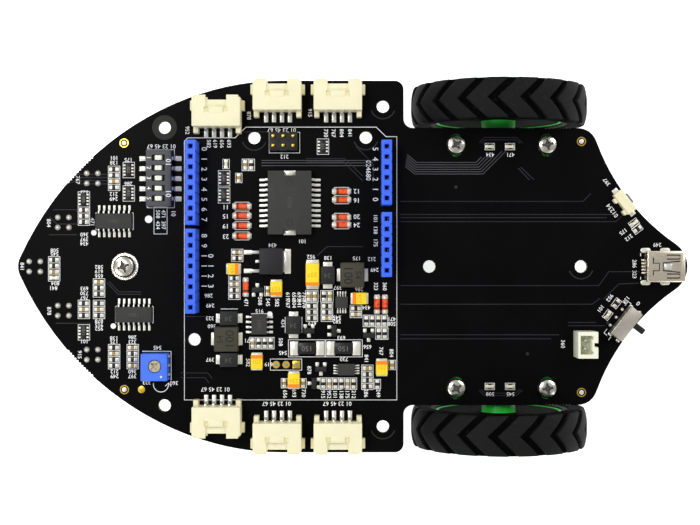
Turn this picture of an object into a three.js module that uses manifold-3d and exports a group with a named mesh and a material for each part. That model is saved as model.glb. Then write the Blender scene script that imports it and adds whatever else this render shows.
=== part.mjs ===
// Line follower robot: a circuit-board deck carried by two geared wheels and a front ball caster.
// Millimetres. +X is forward, to the pointed nose, +Y is the robot's left, +Z is up, the ground is z = 0.
import * as THREE from "three";
import { mergeVertices } from "three/addons/utils/BufferGeometryUtils.js";
import Module from "manifold-3d";

const wasm = await Module();
wasm.setup();

// Clearances
const seatGap = 0.05; // between a piece and the face it is seated on
const slideGap = 0.12; // round a sliding knob or lever
const runningGap = 0.06; // radial, round a turning shaft

// Deck outline
const deckLength = 168.6;
const deckWidth = 93.6;
const deckThickness = 1.6;
const noseTipRadius = 5.4;
const noseTipSlope = 2.2; // rise of half width per millimetre where the nose curve leaves the tip
const noseLength = 66;
const noseFirstHandle = 13.5;
const noseSecondHandle = 24;
const tailTipRadius = 7;
const tailFlareRadius = 53;
const tailLength = 24; // tail tip to the corner where the flare meets the wheel bay
const bayDepth = 11.9;
const bayFrontGap = 2.2; // wheel to the front wall of its bay
const bayInnerRadius = 2.3;
const bayOuterRadius = 2.2;
const tailCornerRadius = 4;
const biteRadius = 0.32; // break-off perforations left along the edge
const bitePitch = 0.85;
const biteCount = 8; // along each bay wall
const noseBiteCount = 11;
const noseBiteStart = 0.272; // share of the nose curve before its first perforation
const biteSides = 6;

// Wheels
const wheelRadius = 22.45;
const tyreWidth = 10.2;
const tyreInnerRadius = 17.25;
const wheelEdgeInset = 0.2; // outer face of the tyre inside the deck's edge
const lugCount = 18;
const lugShare = 0.85; // part of a lug's pitch that is rubber
const treadDepth = 1.1;
const shoulderDrop = 0.8;
const chevronSweep = 2.75; // degrees of lag per millimetre from the middle of the tread
const axleFromTail = 46.85;
const rimWidth = 9.2;
const rimWall = 1.7;
const rimWebThickness = 2;
const rimHoleCount = 5;
const rimHoleRadius = 3.1;
const hubRadius = 4.1;
const hubInboardEnd = 7.3; // reach of the hub from the wheel's middle towards the deck
const hubOutboardEnd = 3.4;

// Gearmotors, on the axle, outwards from the robot's middle
const motorHalfWidth = 6;
const motorHalfHeight = 5;
const motorDeckGap = 0.3;
const gearboxInset = 1.4; // gearbox face inside the wall of the wheel bay
const gearboxLength = 9;
const gearboxPlate = 0.75;
const canLength = 15;
const canWall = 0.5;
const endCapThickness = 1.6;
const motorShaftRadius = 0.5;
const armatureRadius = 4.1;
const armatureLength = 8.6;
const commutatorRadius = 1.5;
const commutatorLength = 1.6;
const outputShaftRadius = 1.5;
const shaftFlatDepth = 0.5;
const gearModule = 0.22;
const smallGearTeeth = 8;
const largeGearTeeth = 20;
const gearThickness = 1.6;
const toothShare = 0.36; // tooth thickness over the pitch at the pitch circle
const clusterPinRadius = 0.38;
const postRadius = 0.55;
const postInset = 0.85;

// Motor brackets
const bracketWidth = 7.9;
const bracketInset = 0.9; // outer face of the bracket inside the wall of the wheel bay
const bracketWall = 1.25;
const bracketClearance = 0.15;
const bracketChamfer = 2;
const earThickness = 3;
const earReach = 15.1;
const bracketScrewSpacing = 22.9;
const bracketScrewInset = 4.3; // screw axis inside the wall of the wheel bay
const bracketScrewRadius = 1.25;
const bracketScrewHeadRadius = 2.45;
const bracketScrewHeadHeight = 1.7;
const bracketScrewLength = 6.5;
const slotWidth = 3.4;
const slotLength = 5.8;

// Front ball caster
const casterFromNose = 27;
const casterScrewRadius = 1.45;
const casterHeadRadius = 2.8;
const casterHeadHeight = 2;
const casterScrewLength = 9;
const washerRadius = 3.45;
const washerThickness = 0.6;
const standoffAcrossFlats = 5.5;
const ballRadius = 6;
const ballGap = 0.25;
const housingRadius = 7.8;
const housingCrown = 1.2;
const housingMouth = 3.2; // height of the housing's lip over the ground
const cupSteps = 6;

// Mounting holes in the deck: place along X from the deck's middle and across it
const mountHoleRadius = 1.6;
const controllerHoles = [
  [39.9, 18.4],
  [-3.3, -32.5],
];
const frontHoles = [
  [47.4, -35],
  [47.4, 35],
  [24.8, -32.4],
];
const bayHoleInset = 5.2; // hole in front of the wheel bay, behind the bay's front wall
const bayHoleEdge = 6.5; // the same hole, inside the deck's edge
const rearHoleFromTail = 26.8;
const middleHoleFromTail = 65;

// Controller-board headers: the standard pin layout, along its long and short sides
const pinPitch = 2.54;
const headerHeight = 8.5;
const headerFloor = 2.5;
const pinHoleSize = 1;
const layoutOriginX = -10.9;
const layoutOriginY = 33.6;
const headerRows = [
  { name: "header_digital_low", along: 50.8, lastPin: 63.5, pins: 8 },
  { name: "header_digital_high", along: 50.8, lastPin: 41.656, pins: 8 },
  { name: "header_analog", along: 2.54, lastPin: 63.5, pins: 6 },
  { name: "header_power", along: 2.54, lastPin: 45.72, pins: 6 },
];

// Four-pin side-entry sockets, with the mouth to the deck's edge
const socketWidth = 12;
const socketDepth = 8;
const socketHeight = 6;
const socketWall = 0.8;
const socketBackWall = 1.2;
const socketNotchWidth = 5.2;
const socketNotchDepth = 3.1;
const socketLegWidth = 1.3;
const socketLegLength = 1.7;
const socketLegHeight = 3;
const socketEarReach = 0.8;
const socketEarLength = 2.5;
const socketEarHeight = 2.2;
const socketSpacing = 1.5; // between the ears of neighbouring sockets
const socketPitch = socketWidth + 2 * socketEarReach + socketSpacing;
const rearSocketX = 3.7;
const socketPlaces = [
  { name: "rear", x: rearSocketX, inset: 0.65 },
  { name: "middle", x: rearSocketX + socketPitch, inset: 0.65 },
  { name: "front", x: rearSocketX + 2 * socketPitch, inset: 4.25 },
];

// Mini USB socket at the tail tip
const usbTailInset = 1.5;
const usbLength = 9.2;
const usbWidth = 7.7;
const usbHeight = 3.95;
const usbWall = 0.4;
const usbMouthDepth = 7;
const usbShoulder = 1; // slope on the lower corners of the mouth

// Battery socket
const batterySocketFromTail = 26.6;
const batterySocketY = 19.4;
const batterySocketSize = [5.7, 6.6, 7];
const batterySocketCavity = [3.1, 4.4, 5.2];
const batterySocketNotch = 1.4;

// DIP switch
const dipPlace = [48.5, -22.1];
const dipWidth = 6.2;
const dipHeight = 3.2;
const dipWays = 5;
const dipEndMargin = 0.7;
const dipSlotLength = 3.3;
const dipSlotWidth = 1.5;
const dipSlotDepth = 1.5;
const dipKnobLength = 1.85;
const dipKnobProud = 0.3;

// Trimmer
const trimmerPlace = [49.2, 24.8];
const trimmerSize = [7, 7.3, 4.8];
const trimmerRotorRadius = 1.48;
const trimmerRotorDepth = 1.1;
const trimmerSlotWidth = 0.5;
const trimmerSlotDepth = 0.6;

// Power switch: its frame has +X out through the lever and +Y along the body
const powerSwitchFromTail = 16;
const powerSwitchY = 14.3;
const powerSwitchTurn = 142.5;
const powerBody = [3.6, 8.5, 3.5];
const powerLeverWidth = 1.5;
const powerLeverHeight = 1.4;
const powerLeverReach = 3.1;
const powerLeverRoot = 1.3; // length of the lever inside the body
const powerLeverBase = 1.1; // underside of the lever over the deck
const powerTravel = 2.1;

// Reset switch: its frame has +X out through the button
const resetSwitchFromTail = 16.9;
const resetSwitchY = -15.6;
const resetSwitchTurn = 217.4;
const resetBody = [3, 6.2, 2.6];
const resetButtonWidth = 2.9;
const resetButtonHeight = 1.2;
const resetButtonReach = 0.65;
const resetButtonRoot = 0.9;
const resetTravel = 0.3;

// Line sensors under the nose: distance back from the nose tip and out to the side
const sensorPlaces = [
  { name: "line_sensor_centre", fromNose: 4.2, side: 0 },
  { name: "line_sensor_inner_left", fromNose: 11.4, side: 11.1 },
  { name: "line_sensor_inner_right", fromNose: 11.4, side: -11.1 },
  { name: "line_sensor_outer_left", fromNose: 18.7, side: 22.2 },
  { name: "line_sensor_outer_right", fromNose: 18.7, side: -22.2 },
];
const sensorSize = [4.9, 6.4, 6.5];
const sensorGroundGap = 4;
const sensorRiser = [3.6, 4.6];
const sensorWindowRadius = 1.1;
const sensorWindowDepth = 0.6;
const sensorWindowSpacing = 2.9;

// Levels and places that follow from the sizes above
const noseX = deckLength / 2;
const tailX = -deckLength / 2;
const halfWidth = deckWidth / 2;
const axleX = tailX + axleFromTail;
const axleZ = wheelRadius;
const deckBottom = axleZ + motorHalfHeight + motorDeckGap;
const deckTop = deckBottom + deckThickness;
const bayWall = halfWidth - bayDepth;
const bayFrontX = axleX + wheelRadius + bayFrontGap;
const wheelMiddleY = halfWidth - wheelEdgeInset - tyreWidth / 2;
const gearboxFace = bayWall - gearboxInset;
const gearboxBack = gearboxFace - gearboxLength;
const canBack = gearboxBack - seatGap - canLength;
const centreDistance = (gearModule * (smallGearTeeth + largeGearTeeth)) / 2;
const firstStageY = gearboxBack + gearboxPlate + 0.3;
const secondStageY = gearboxFace - gearboxPlate - 0.4 - gearThickness;
const bracketScrewY = bayWall - bracketScrewInset;
const casterX = noseX - casterFromNose;
const housingTop = 2 * ballRadius + ballGap + housingCrown;

// Finishes
const finish = (color, roughness, metalness = 0) => ({ color, roughness, metalness });
const blackBoard = finish(0x0b0b0d, 0.45);
const blueNylon = finish(0x3f6ff0, 0.5);
const creamNylon = finish(0xf3efc8, 0.5);
const whiteNylon = finish(0xf4f4ee, 0.5);
const greyPlastic = finish(0x4c4a4b, 0.6);
const blackPlastic = finish(0x151516, 0.55);
const blackRubber = finish(0x141414, 0.85);
const greenPlastic = finish(0x12b62c, 0.45);
const tinPlate = finish(0xb9b09a, 0.35, 1);
const steel = finish(0xbfc1c4, 0.28, 1);
const zincSteel = finish(0xcfd0d0, 0.25, 1);
const brassPlate = finish(0xc79a4b, 0.35, 1);
const copperBrown = finish(0x8a4b2c, 0.4, 1);

const robot = new THREE.Group();

// Turns a closed three.js geometry into a solid that can be joined and cut.
function solid(geometry) {
  const loose = geometry.index ? geometry.toNonIndexed() : geometry;
  const bare = new THREE.BufferGeometry().setAttribute("position", loose.getAttribute("position"));
  const merged = mergeVertices(bare, 1e-4);
  return new wasm.Manifold(
    new wasm.Mesh({
      numProp: 3,
      vertProperties: merged.attributes.position.array,
      triVerts: new Uint32Array(merged.index.array),
    }),
  );
}

// Adds a solid to a group as a named mesh with its own material.
function addPiece(group, name, shape, look) {
  const made = shape.getMesh();
  const geometry = new THREE.BufferGeometry();
  geometry.setAttribute("position", new THREE.BufferAttribute(made.vertProperties, 3));
  geometry.setIndex(new THREE.BufferAttribute(made.triVerts, 1));
  const flat = geometry.toNonIndexed();
  flat.computeVertexNormals();
  const mesh = new THREE.Mesh(flat, new THREE.MeshStandardMaterial(look));
  mesh.name = name;
  group.add(mesh);
}

function addGroup(x, y, z, turnDegrees = 0) {
  const group = new THREE.Group();
  group.position.set(x, y, z);
  group.rotation.z = THREE.MathUtils.degToRad(turnDegrees);
  robot.add(group);
  return group;
}

function join(first, ...others) {
  return others.reduce((sum, other) => sum.add(other), first);
}

function cut(first, ...others) {
  return others.reduce((rest, other) => rest.subtract(other), first);
}

// A block between two opposite corners.
function block(low, high) {
  const size = high.map((value, i) => value - low[i]);
  const middle = high.map((value, i) => (value + low[i]) / 2);
  return solid(new THREE.BoxGeometry(...size).translate(...middle));
}

// A block centred on x and y and standing on z.
function standingBlock(sizeX, sizeY, lowZ, highZ, x = 0, y = 0) {
  return block([x - sizeX / 2, y - sizeY / 2, lowZ], [x + sizeX / 2, y + sizeY / 2, highZ]);
}

function rodAlongZ(radius, lowZ, highZ, sides = 24, x = 0, y = 0) {
  const geometry = new THREE.CylinderGeometry(radius, radius, highZ - lowZ, sides).rotateX(Math.PI / 2);
  return solid(geometry.translate(x, y, (lowZ + highZ) / 2));
}

function rodAlongY(radius, lowY, highY, sides = 24, x = 0, z = 0) {
  const geometry = new THREE.CylinderGeometry(radius, radius, highY - lowY, sides);
  return solid(geometry.translate(x, (lowY + highY) / 2, z));
}

// Profiles are lists of [radius, height], bottom to top along the outside.
function turnedAboutY(profile, sides = 24) {
  const points = profile.map(([radius, height]) => new THREE.Vector2(radius, height));
  return solid(new THREE.LatheGeometry(points, sides));
}

function turnedAboutZ(profile, sides = 24) {
  const points = profile.map(([radius, height]) => new THREE.Vector2(radius, height));
  return solid(new THREE.LatheGeometry(points, sides).rotateX(Math.PI / 2));
}

function plateAlongZ(shape, lowZ, highZ, curveSegments = 8) {
  const settings = { depth: highZ - lowZ, bevelEnabled: false, curveSegments };
  return solid(new THREE.ExtrudeGeometry(shape, settings).translate(0, 0, lowZ));
}

// Extrudes an XZ outline from lowY to highY.
function plateAlongY(shape, lowY, highY, curveSegments = 8) {
  const settings = { depth: highY - lowY, bevelEnabled: false, curveSegments };
  return solid(new THREE.ExtrudeGeometry(shape, settings).rotateX(Math.PI / 2).translate(0, highY, 0));
}

function outline(points) {
  return new THREE.Shape(points.map(([x, y]) => new THREE.Vector2(x, y)));
}

// The left side's pieces are made as drawn, and the right side's as their mirror images.
function onSide(shape, side) {
  return side > 0 ? shape : shape.mirror([0, 1, 0]);
}

// ---- Deck ----

function tailFlareCentre() {
  const reach = tailFlareRadius + tailTipRadius;
  const corner = new THREE.Vector2(tailLength - tailTipRadius, bayWall);
  const span = corner.length();
  const along = (reach ** 2 - tailFlareRadius ** 2 + span ** 2) / (2 * span);
  const across = Math.sqrt(reach ** 2 - along ** 2);
  const unit = corner.divideScalar(span);
  return new THREE.Vector2(
    tailX + tailTipRadius + along * unit.x - across * unit.y,
    along * unit.y + across * unit.x,
  );
}

// The nose curve from the tip's arc to the straight side, on the +Y half.
function noseCurve() {
  const lean = Math.atan(1 / noseTipSlope);
  const startX = noseX - noseTipRadius * (1 - Math.cos(lean));
  const startY = noseTipRadius * Math.sin(lean);
  return new THREE.CubicBezierCurve(
    new THREE.Vector2(startX, startY),
    new THREE.Vector2(startX - noseFirstHandle, startY + noseFirstHandle * noseTipSlope),
    new THREE.Vector2(noseX - noseLength + noseSecondHandle, halfWidth),
    new THREE.Vector2(noseX - noseLength, halfWidth),
  );
}

// The +Y half of the deck's edge, from the nose tip to the tail tip.
function halfEdge() {
  const tip = new THREE.Path();
  const lean = Math.atan(1 / noseTipSlope);
  tip.absarc(noseX - noseTipRadius, 0, noseTipRadius, 0, lean);

  const bay = new THREE.Path();
  bay.moveTo(noseX - noseLength, halfWidth);
  bay.lineTo(bayFrontX + bayOuterRadius, halfWidth);
  bay.absarc(
    bayFrontX + bayOuterRadius, halfWidth - bayOuterRadius, bayOuterRadius, Math.PI / 2, Math.PI, false,
  );
  bay.absarc(bayFrontX - bayInnerRadius, bayWall + bayInnerRadius, bayInnerRadius, 0, -Math.PI / 2, true);

  const flare = tailFlareCentre();
  const tipCentreX = tailX + tailTipRadius;
  const cornerX = tailX + tailLength;
  const cornerAngle = Math.atan2(bayWall - flare.y, cornerX - flare.x);
  const filletAngle = cornerAngle - tailCornerRadius / tailFlareRadius;
  const tangentAngle = Math.atan2(-flare.y, tipCentreX - flare.x);
  const tail = new THREE.Path();
  tail.moveTo(cornerX + tailCornerRadius, bayWall);
  tail.quadraticCurveTo(
    cornerX,
    bayWall,
    flare.x + tailFlareRadius * Math.cos(filletAngle),
    flare.y + tailFlareRadius * Math.sin(filletAngle),
  );
  tail.absarc(flare.x, flare.y, tailFlareRadius, filletAngle, tangentAngle, true);
  tail.absarc(tipCentreX, 0, tailTipRadius, tangentAngle + Math.PI, Math.PI, false);

  return [
    ...tip.getPoints(3),
    ...noseCurve().getPoints(22).slice(1),
    ...bay.getPoints(4).slice(1),
    ...tail.getPoints(6),
  ];
}

function slotHole(x, y) {
  const hole = new THREE.Path();
  const radius = slotWidth / 2;
  const straight = (slotLength - slotWidth) / 2;
  hole.absarc(x, y + straight, radius, 0, Math.PI);
  hole.absarc(x, y - straight, radius, Math.PI, 2 * Math.PI);
  hole.closePath();
  return hole;
}

function roundHole(x, y, radius) {
  return new THREE.Path().absarc(x, y, radius, 0, 2 * Math.PI);
}

function mountHolePlaces() {
  const bayHoles = [1, -1].map((side) => [bayFrontX + bayHoleInset, side * (halfWidth - bayHoleEdge)]);
  const rearHoles = [
    [tailX + rearHoleFromTail, 0],
    [tailX + middleHoleFromTail, 0],
  ];
  return [...controllerHoles, ...frontHoles, ...bayHoles, ...rearHoles];
}

// Centres of the perforations left where the panel was snapped apart.
function bitePlaces() {
  const places = [];
  const nose = noseCurve();
  for (const side of [1, -1]) {
    for (let i = 0; i < noseBiteCount; i += 1) {
      const onNose = nose.getPointAt(noseBiteStart + (i * bitePitch) / nose.getLength());
      places.push([onNose.x, side * onNose.y]);
    }
    for (let i = 0; i < biteCount; i += 1) {
      places.push([axleX - wheelRadius / 2 - i * bitePitch, side * bayWall]);
    }
  }
  return places;
}

function addDeck() {
  const half = halfEdge();
  const mirrored = half.slice(1, -1).reverse().map((point) => new THREE.Vector2(point.x, -point.y));
  const shape = new THREE.Shape([...half, ...mirrored]);
  for (const [x, y] of mountHolePlaces()) shape.holes.push(roundHole(x, y, mountHoleRadius));
  shape.holes.push(roundHole(casterX, 0, casterScrewRadius + slideGap));
  for (const side of [1, -1]) {
    for (const end of [1, -1]) {
      shape.holes.push(slotHole(axleX + (end * bracketScrewSpacing) / 2, side * bracketScrewY));
    }
  }
  const plate = plateAlongZ(shape, deckBottom, deckTop, 6);
  const bites = bitePlaces().map(([x, y]) =>
    rodAlongZ(biteRadius, deckBottom - 1, deckTop + 1, biteSides, x, y),
  );
  addPiece(robot, "main_board", cut(plate, ...bites), blackBoard);
}

// ---- Connectors ----

function addHeaders() {
  for (const row of headerRows) {
    const length = row.pins * pinPitch;
    const firstY = layoutOriginY - row.lastPin;
    const middleY = firstY + (length - pinPitch) / 2;
    const pinY = (i) => firstY - middleY + i * pinPitch;
    const holes = Array.from({ length: row.pins }, (_, i) =>
      standingBlock(pinHoleSize, pinHoleSize, headerFloor, headerHeight + 1, 0, pinY(i)),
    );
    const body = cut(standingBlock(pinPitch, length, 0, headerHeight), ...holes);
    addPiece(addGroup(layoutOriginX + row.along, middleY, deckTop + seatGap), row.name, body, blueNylon);
  }
}

// One socket, with its mouth towards +Y at y = 0 and its back towards -Y.
function fourPinSocket() {
  const half = socketWidth / 2;
  const body = block([-half, -socketDepth, 0], [half, 0, socketHeight]);
  const cavity = block(
    [socketWall - half, socketBackWall - socketDepth, socketWall],
    [half - socketWall, 1, socketHeight - socketWall],
  );
  const topNotch = block(
    [-socketNotchWidth / 2, -socketNotchDepth, socketHeight - 2 * socketWall],
    [socketNotchWidth / 2, 1, socketHeight + 1],
  );
  const floorNotch = block(
    [-socketNotchWidth / 2, -socketNotchDepth / 2, -1],
    [socketNotchWidth / 2, 1, 2 * socketWall],
  );
  const legs = [1, -1].map((end) =>
    block(
      [end * (half - socketLegWidth / 2) - socketLegWidth / 2, -socketDepth - socketLegLength, 0],
      [end * (half - socketLegWidth / 2) + socketLegWidth / 2, 0.5 - socketDepth, socketLegHeight],
    ),
  );
  const ears = [1, -1].map((end) =>
    block(
      [end * half - socketEarReach, -1 - socketEarLength, 0],
      [end * half + socketEarReach, -1, socketEarHeight],
    ),
  );
  return cut(join(body, ...legs, ...ears), cavity, topNotch, floorNotch);
}

function addFourPinSockets() {
  for (const place of socketPlaces) {
    for (const [sideName, side] of [["left", 1], ["right", -1]]) {
      const turn = side > 0 ? 0 : 180;
      const group = addGroup(place.x, side * (halfWidth - place.inset), deckTop + seatGap, turn);
      addPiece(group, `socket_${place.name}_${sideName}`, fourPinSocket(), creamNylon);
    }
  }
}

// The mouth of the shell faces -X at the group's origin.
function addUsbSocket() {
  const half = usbWidth / 2;
  const section = (margin) =>
    outline([
      [-half + usbShoulder + margin, margin],
      [half - usbShoulder - margin, margin],
      [half - margin, usbHeight / 2],
      [half - margin, usbHeight - margin],
      [-half + margin, usbHeight - margin],
      [-half + margin, usbHeight / 2],
    ]);
  const turned = (shape, from, to) => plateAlongY(shape, from, to).rotate([0, 0, 90]);
  const outside = turned(section(0), 0, usbLength);
  const mouth = turned(section(usbWall), usbLength - usbMouthDepth, usbLength + 1);
  const group = addGroup(tailX + usbTailInset + usbLength, 0, deckTop + seatGap);
  addPiece(group, "usb_socket", cut(outside, mouth), tinPlate);
}

function addBatterySocket() {
  const [sizeX, sizeY, sizeZ] = batterySocketSize;
  const [cavityX, cavityY, cavityZ] = batterySocketCavity;
  const body = standingBlock(sizeX, sizeY, 0, sizeZ);
  const cavity = standingBlock(cavityX, cavityY, sizeZ - cavityZ, sizeZ + 1);
  const notch = block(
    [-sizeX, -batterySocketNotch / 2, sizeZ - cavityZ],
    [0, batterySocketNotch / 2, sizeZ + 1],
  );
  const group = addGroup(tailX + batterySocketFromTail, batterySocketY, deckTop + seatGap);
  addPiece(group, "battery_socket", cut(body, cavity, notch), whiteNylon);
}

// ---- Controls ----

function addDipSwitch() {
  const length = dipWays * pinPitch + 2 * dipEndMargin;
  const slotY = (i) => (i - (dipWays - 1) / 2) * pinPitch;
  const ways = Array.from({ length: dipWays }, (_, i) => i);
  const slots = ways.map((i) =>
    standingBlock(dipSlotLength, dipSlotWidth, dipHeight - dipSlotDepth, dipHeight + 1, 0, slotY(i)),
  );
  const group = addGroup(dipPlace[0], dipPlace[1], deckTop + seatGap);
  const body = cut(standingBlock(dipWidth, length, 0, dipHeight), ...slots);
  addPiece(group, "dip_switch_body", body, greyPlastic);
  for (const i of ways) {
    const knob = standingBlock(
      dipKnobLength,
      dipSlotWidth - 2 * slideGap,
      dipHeight - dipSlotDepth + slideGap,
      dipHeight + dipKnobProud,
      0,
      slotY(i),
    );
    addPiece(group, `dip_slider_${i + 1}`, knob, whiteNylon);
  }
}

function addTrimmer() {
  const [sizeX, sizeY, sizeZ] = trimmerSize;
  const rotorFloor = sizeZ - trimmerRotorDepth;
  const pocket = rodAlongZ(trimmerRotorRadius + slideGap, rotorFloor - slideGap, sizeZ + 1, 24);
  const group = addGroup(trimmerPlace[0], trimmerPlace[1], deckTop + seatGap);
  addPiece(group, "trimmer_body", cut(standingBlock(sizeX, sizeY, 0, sizeZ), pocket), blueNylon);
  const reach = trimmerRotorRadius * 1.6;
  const slotFloor = sizeZ - trimmerSlotDepth;
  const cross = join(
    standingBlock(reach, trimmerSlotWidth, slotFloor, sizeZ + 1),
    standingBlock(trimmerSlotWidth, reach, slotFloor, sizeZ + 1),
  );
  const rotor = cut(rodAlongZ(trimmerRotorRadius, rotorFloor, sizeZ, 24), cross.rotate([0, 0, 45]));
  addPiece(group, "trimmer_rotor", rotor, whiteNylon);
}

function addPowerSwitch() {
  const [sizeX, sizeY, sizeZ] = powerBody;
  const face = sizeX / 2;
  const halfSlot = (powerLeverWidth + powerTravel) / 2 + slideGap;
  const top = powerLeverBase + powerLeverHeight;
  const slot = block(
    [face - powerLeverRoot - slideGap, -halfSlot, powerLeverBase - slideGap],
    [face + 1, halfSlot, top + slideGap],
  );
  const group = addGroup(tailX + powerSwitchFromTail, powerSwitchY, deckTop + seatGap, powerSwitchTurn);
  addPiece(group, "power_switch_body", cut(standingBlock(sizeX, sizeY, 0, sizeZ), slot), tinPlate);
  const lever = block(
    [face - powerLeverRoot, (powerTravel - powerLeverWidth) / 2, powerLeverBase],
    [face + powerLeverReach, (powerTravel + powerLeverWidth) / 2, top],
  );
  addPiece(group, "power_switch_lever", lever, blackPlastic);
}

function addResetSwitch() {
  const [sizeX, sizeY, sizeZ] = resetBody;
  const face = sizeX / 2;
  const halfSlot = resetButtonWidth / 2 + slideGap;
  const lowZ = (sizeZ - resetButtonHeight) / 2;
  const slot = block(
    [face - resetButtonRoot - resetTravel - slideGap, -halfSlot, lowZ - slideGap],
    [face + 1, halfSlot, lowZ + resetButtonHeight + slideGap],
  );
  const group = addGroup(tailX + resetSwitchFromTail, resetSwitchY, deckTop + seatGap, resetSwitchTurn);
  addPiece(group, "reset_switch_body", cut(standingBlock(sizeX, sizeY, 0, sizeZ), slot), creamNylon);
  const button = block(
    [face - resetButtonRoot, -resetButtonWidth / 2, lowZ],
    [face + resetButtonReach, resetButtonWidth / 2, lowZ + resetButtonHeight],
  );
  addPiece(group, "reset_button", button, greyPlastic);
}

// ---- Line sensors ----

function addLineSensors() {
  const [sizeX, sizeY, sizeZ] = sensorSize;
  const head = sensorGroundGap + sizeZ;
  for (const place of sensorPlaces) {
    const windows = [1, -1].map((end) =>
      rodAlongZ(
        sensorWindowRadius, 0, sensorGroundGap + sensorWindowDepth, 12, 0, (end * sensorWindowSpacing) / 2,
      ),
    );
    const body = join(
      standingBlock(sizeX, sizeY, sensorGroundGap, head),
      standingBlock(sensorRiser[0], sensorRiser[1], head - 1, deckBottom - seatGap),
    );
    const group = addGroup(noseX - place.fromNose, place.side, 0);
    addPiece(group, place.name, cut(body, ...windows), blackPlastic);
  }
}

// ---- Ball caster ----

// A pan-head screw standing on z = 0, with its shank below.
function panHeadScrew(headRadius, headHeight, shankRadius, length, sides) {
  return turnedAboutZ(
    [
      [0, -length],
      [shankRadius, -length],
      [shankRadius, 0],
      [headRadius, 0],
      [headRadius, headHeight * 0.45],
      [headRadius * 0.72, headHeight * 0.88],
      [0, headHeight],
    ],
    sides,
  );
}

function addCaster() {
  const group = addGroup(casterX, 0, 0);
  const washerTop = deckTop + seatGap + washerThickness;
  const screw = panHeadScrew(casterHeadRadius, casterHeadHeight, casterScrewRadius, casterScrewLength, 20);
  addPiece(group, "caster_screw", screw.translate([0, 0, washerTop + seatGap]), zincSteel);

  const washer = cut(
    rodAlongZ(washerRadius, deckTop + seatGap, washerTop, 28),
    rodAlongZ(casterScrewRadius + slideGap, deckTop, washerTop + 1, 20),
  );
  addPiece(group, "caster_washer", washer, zincSteel);

  const standoffBottom = housingTop + seatGap;
  const standoff = cut(
    rodAlongZ(standoffAcrossFlats / Math.sqrt(3), standoffBottom, deckBottom - seatGap, 6),
    rodAlongZ(casterScrewRadius + slideGap, washerTop - casterScrewLength - 0.5, deckBottom + 1, 20),
  );
  addPiece(group, "caster_standoff", standoff, brassPlate);

  const cupRadius = ballRadius + ballGap;
  const lipAngle = Math.asin((housingMouth - ballRadius) / cupRadius);
  const cup = Array.from({ length: cupSteps + 1 }, (_, i) => {
    const angle = Math.PI / 2 + ((lipAngle - Math.PI / 2) * i) / cupSteps;
    return [i === 0 ? 0 : cupRadius * Math.cos(angle), ballRadius + cupRadius * Math.sin(angle)];
  });
  const housing = turnedAboutZ(
    [
      ...cup,
      [housingRadius, housingMouth],
      [housingRadius, housingTop - housingCrown],
      [housingRadius * 0.72, housingTop],
      [0, housingTop],
    ],
    24,
  );
  addPiece(group, "caster_housing", housing, blackPlastic);

  const ball = solid(new THREE.SphereGeometry(ballRadius, 20, 12).rotateX(Math.PI / 2));
  addPiece(group, "caster_ball", ball.translate([0, 0, ballRadius]), steel);
}

// ---- Gearmotors and wheels: the axle is the group's Y axis ----

// A spur gear on the Y axis, with a tooth pointing at the given angle from +X towards +Z.
function spurGear(teeth, lowY, highY, firstTooth) {
  const pitchRadius = (gearModule * teeth) / 2;
  const tipRadius = pitchRadius + 0.75 * gearModule;
  const rootRadius = pitchRadius - 1.2 * gearModule;
  const pitchAngle = (2 * Math.PI) / teeth;
  const rootHalf = pitchAngle * (toothShare / 2 + 0.11);
  const tipHalf = pitchAngle * (toothShare / 2 - 0.09);
  const corner = (radius, angle) => [radius * Math.cos(angle), radius * Math.sin(angle)];
  const points = [];
  for (let i = 0; i < teeth; i += 1) {
    const middle = firstTooth + i * pitchAngle;
    points.push(
      corner(rootRadius, middle - rootHalf),
      corner(tipRadius, middle - tipHalf),
      corner(tipRadius, middle + tipHalf),
      corner(rootRadius, middle + rootHalf),
    );
  }
  return plateAlongY(outline(points), lowY, highY);
}

// The motor's cross-section: a circle with a flat top and bottom.
function motorSection(margin) {
  const radius = motorHalfWidth - margin;
  const lean = Math.asin((motorHalfHeight - margin) / radius);
  const shape = new THREE.Shape();
  shape.absarc(0, 0, radius, -lean, lean);
  shape.absarc(0, 0, radius, Math.PI - lean, Math.PI + lean);
  shape.closePath();
  return shape;
}

function motorCan() {
  const front = gearboxBack - seatGap;
  return cut(
    plateAlongY(motorSection(0), canBack, front, 7),
    plateAlongY(motorSection(canWall), canBack - 1, front - canWall, 7),
    rodAlongY(motorShaftRadius + slideGap, canBack, front + 1, 16),
  );
}

function motorEndCap() {
  const front = canBack - seatGap;
  const back = front - endCapThickness;
  return cut(
    plateAlongY(motorSection(0), back, front, 7),
    rodAlongY(motorShaftRadius + slideGap, back + endCapThickness / 2, front + 1, 16),
  );
}

function rotor() {
  const shaftStart = canBack - seatGap - endCapThickness / 2 + slideGap;
  const armatureStart = canBack + (canLength - armatureLength) / 2;
  const commutatorStart = armatureStart - commutatorLength;
  const shaft = turnedAboutY(
    [
      [0, shaftStart],
      [motorShaftRadius, shaftStart],
      [motorShaftRadius, commutatorStart],
      [commutatorRadius, commutatorStart],
      [commutatorRadius, armatureStart],
      [armatureRadius, armatureStart],
      [armatureRadius, armatureStart + armatureLength],
      [motorShaftRadius, armatureStart + armatureLength],
      [motorShaftRadius, firstStageY + gearThickness],
      [0, firstStageY + gearThickness],
    ],
    16,
  );
  return join(shaft, spurGear(smallGearTeeth, firstStageY, firstStageY + gearThickness, 0));
}

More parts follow.
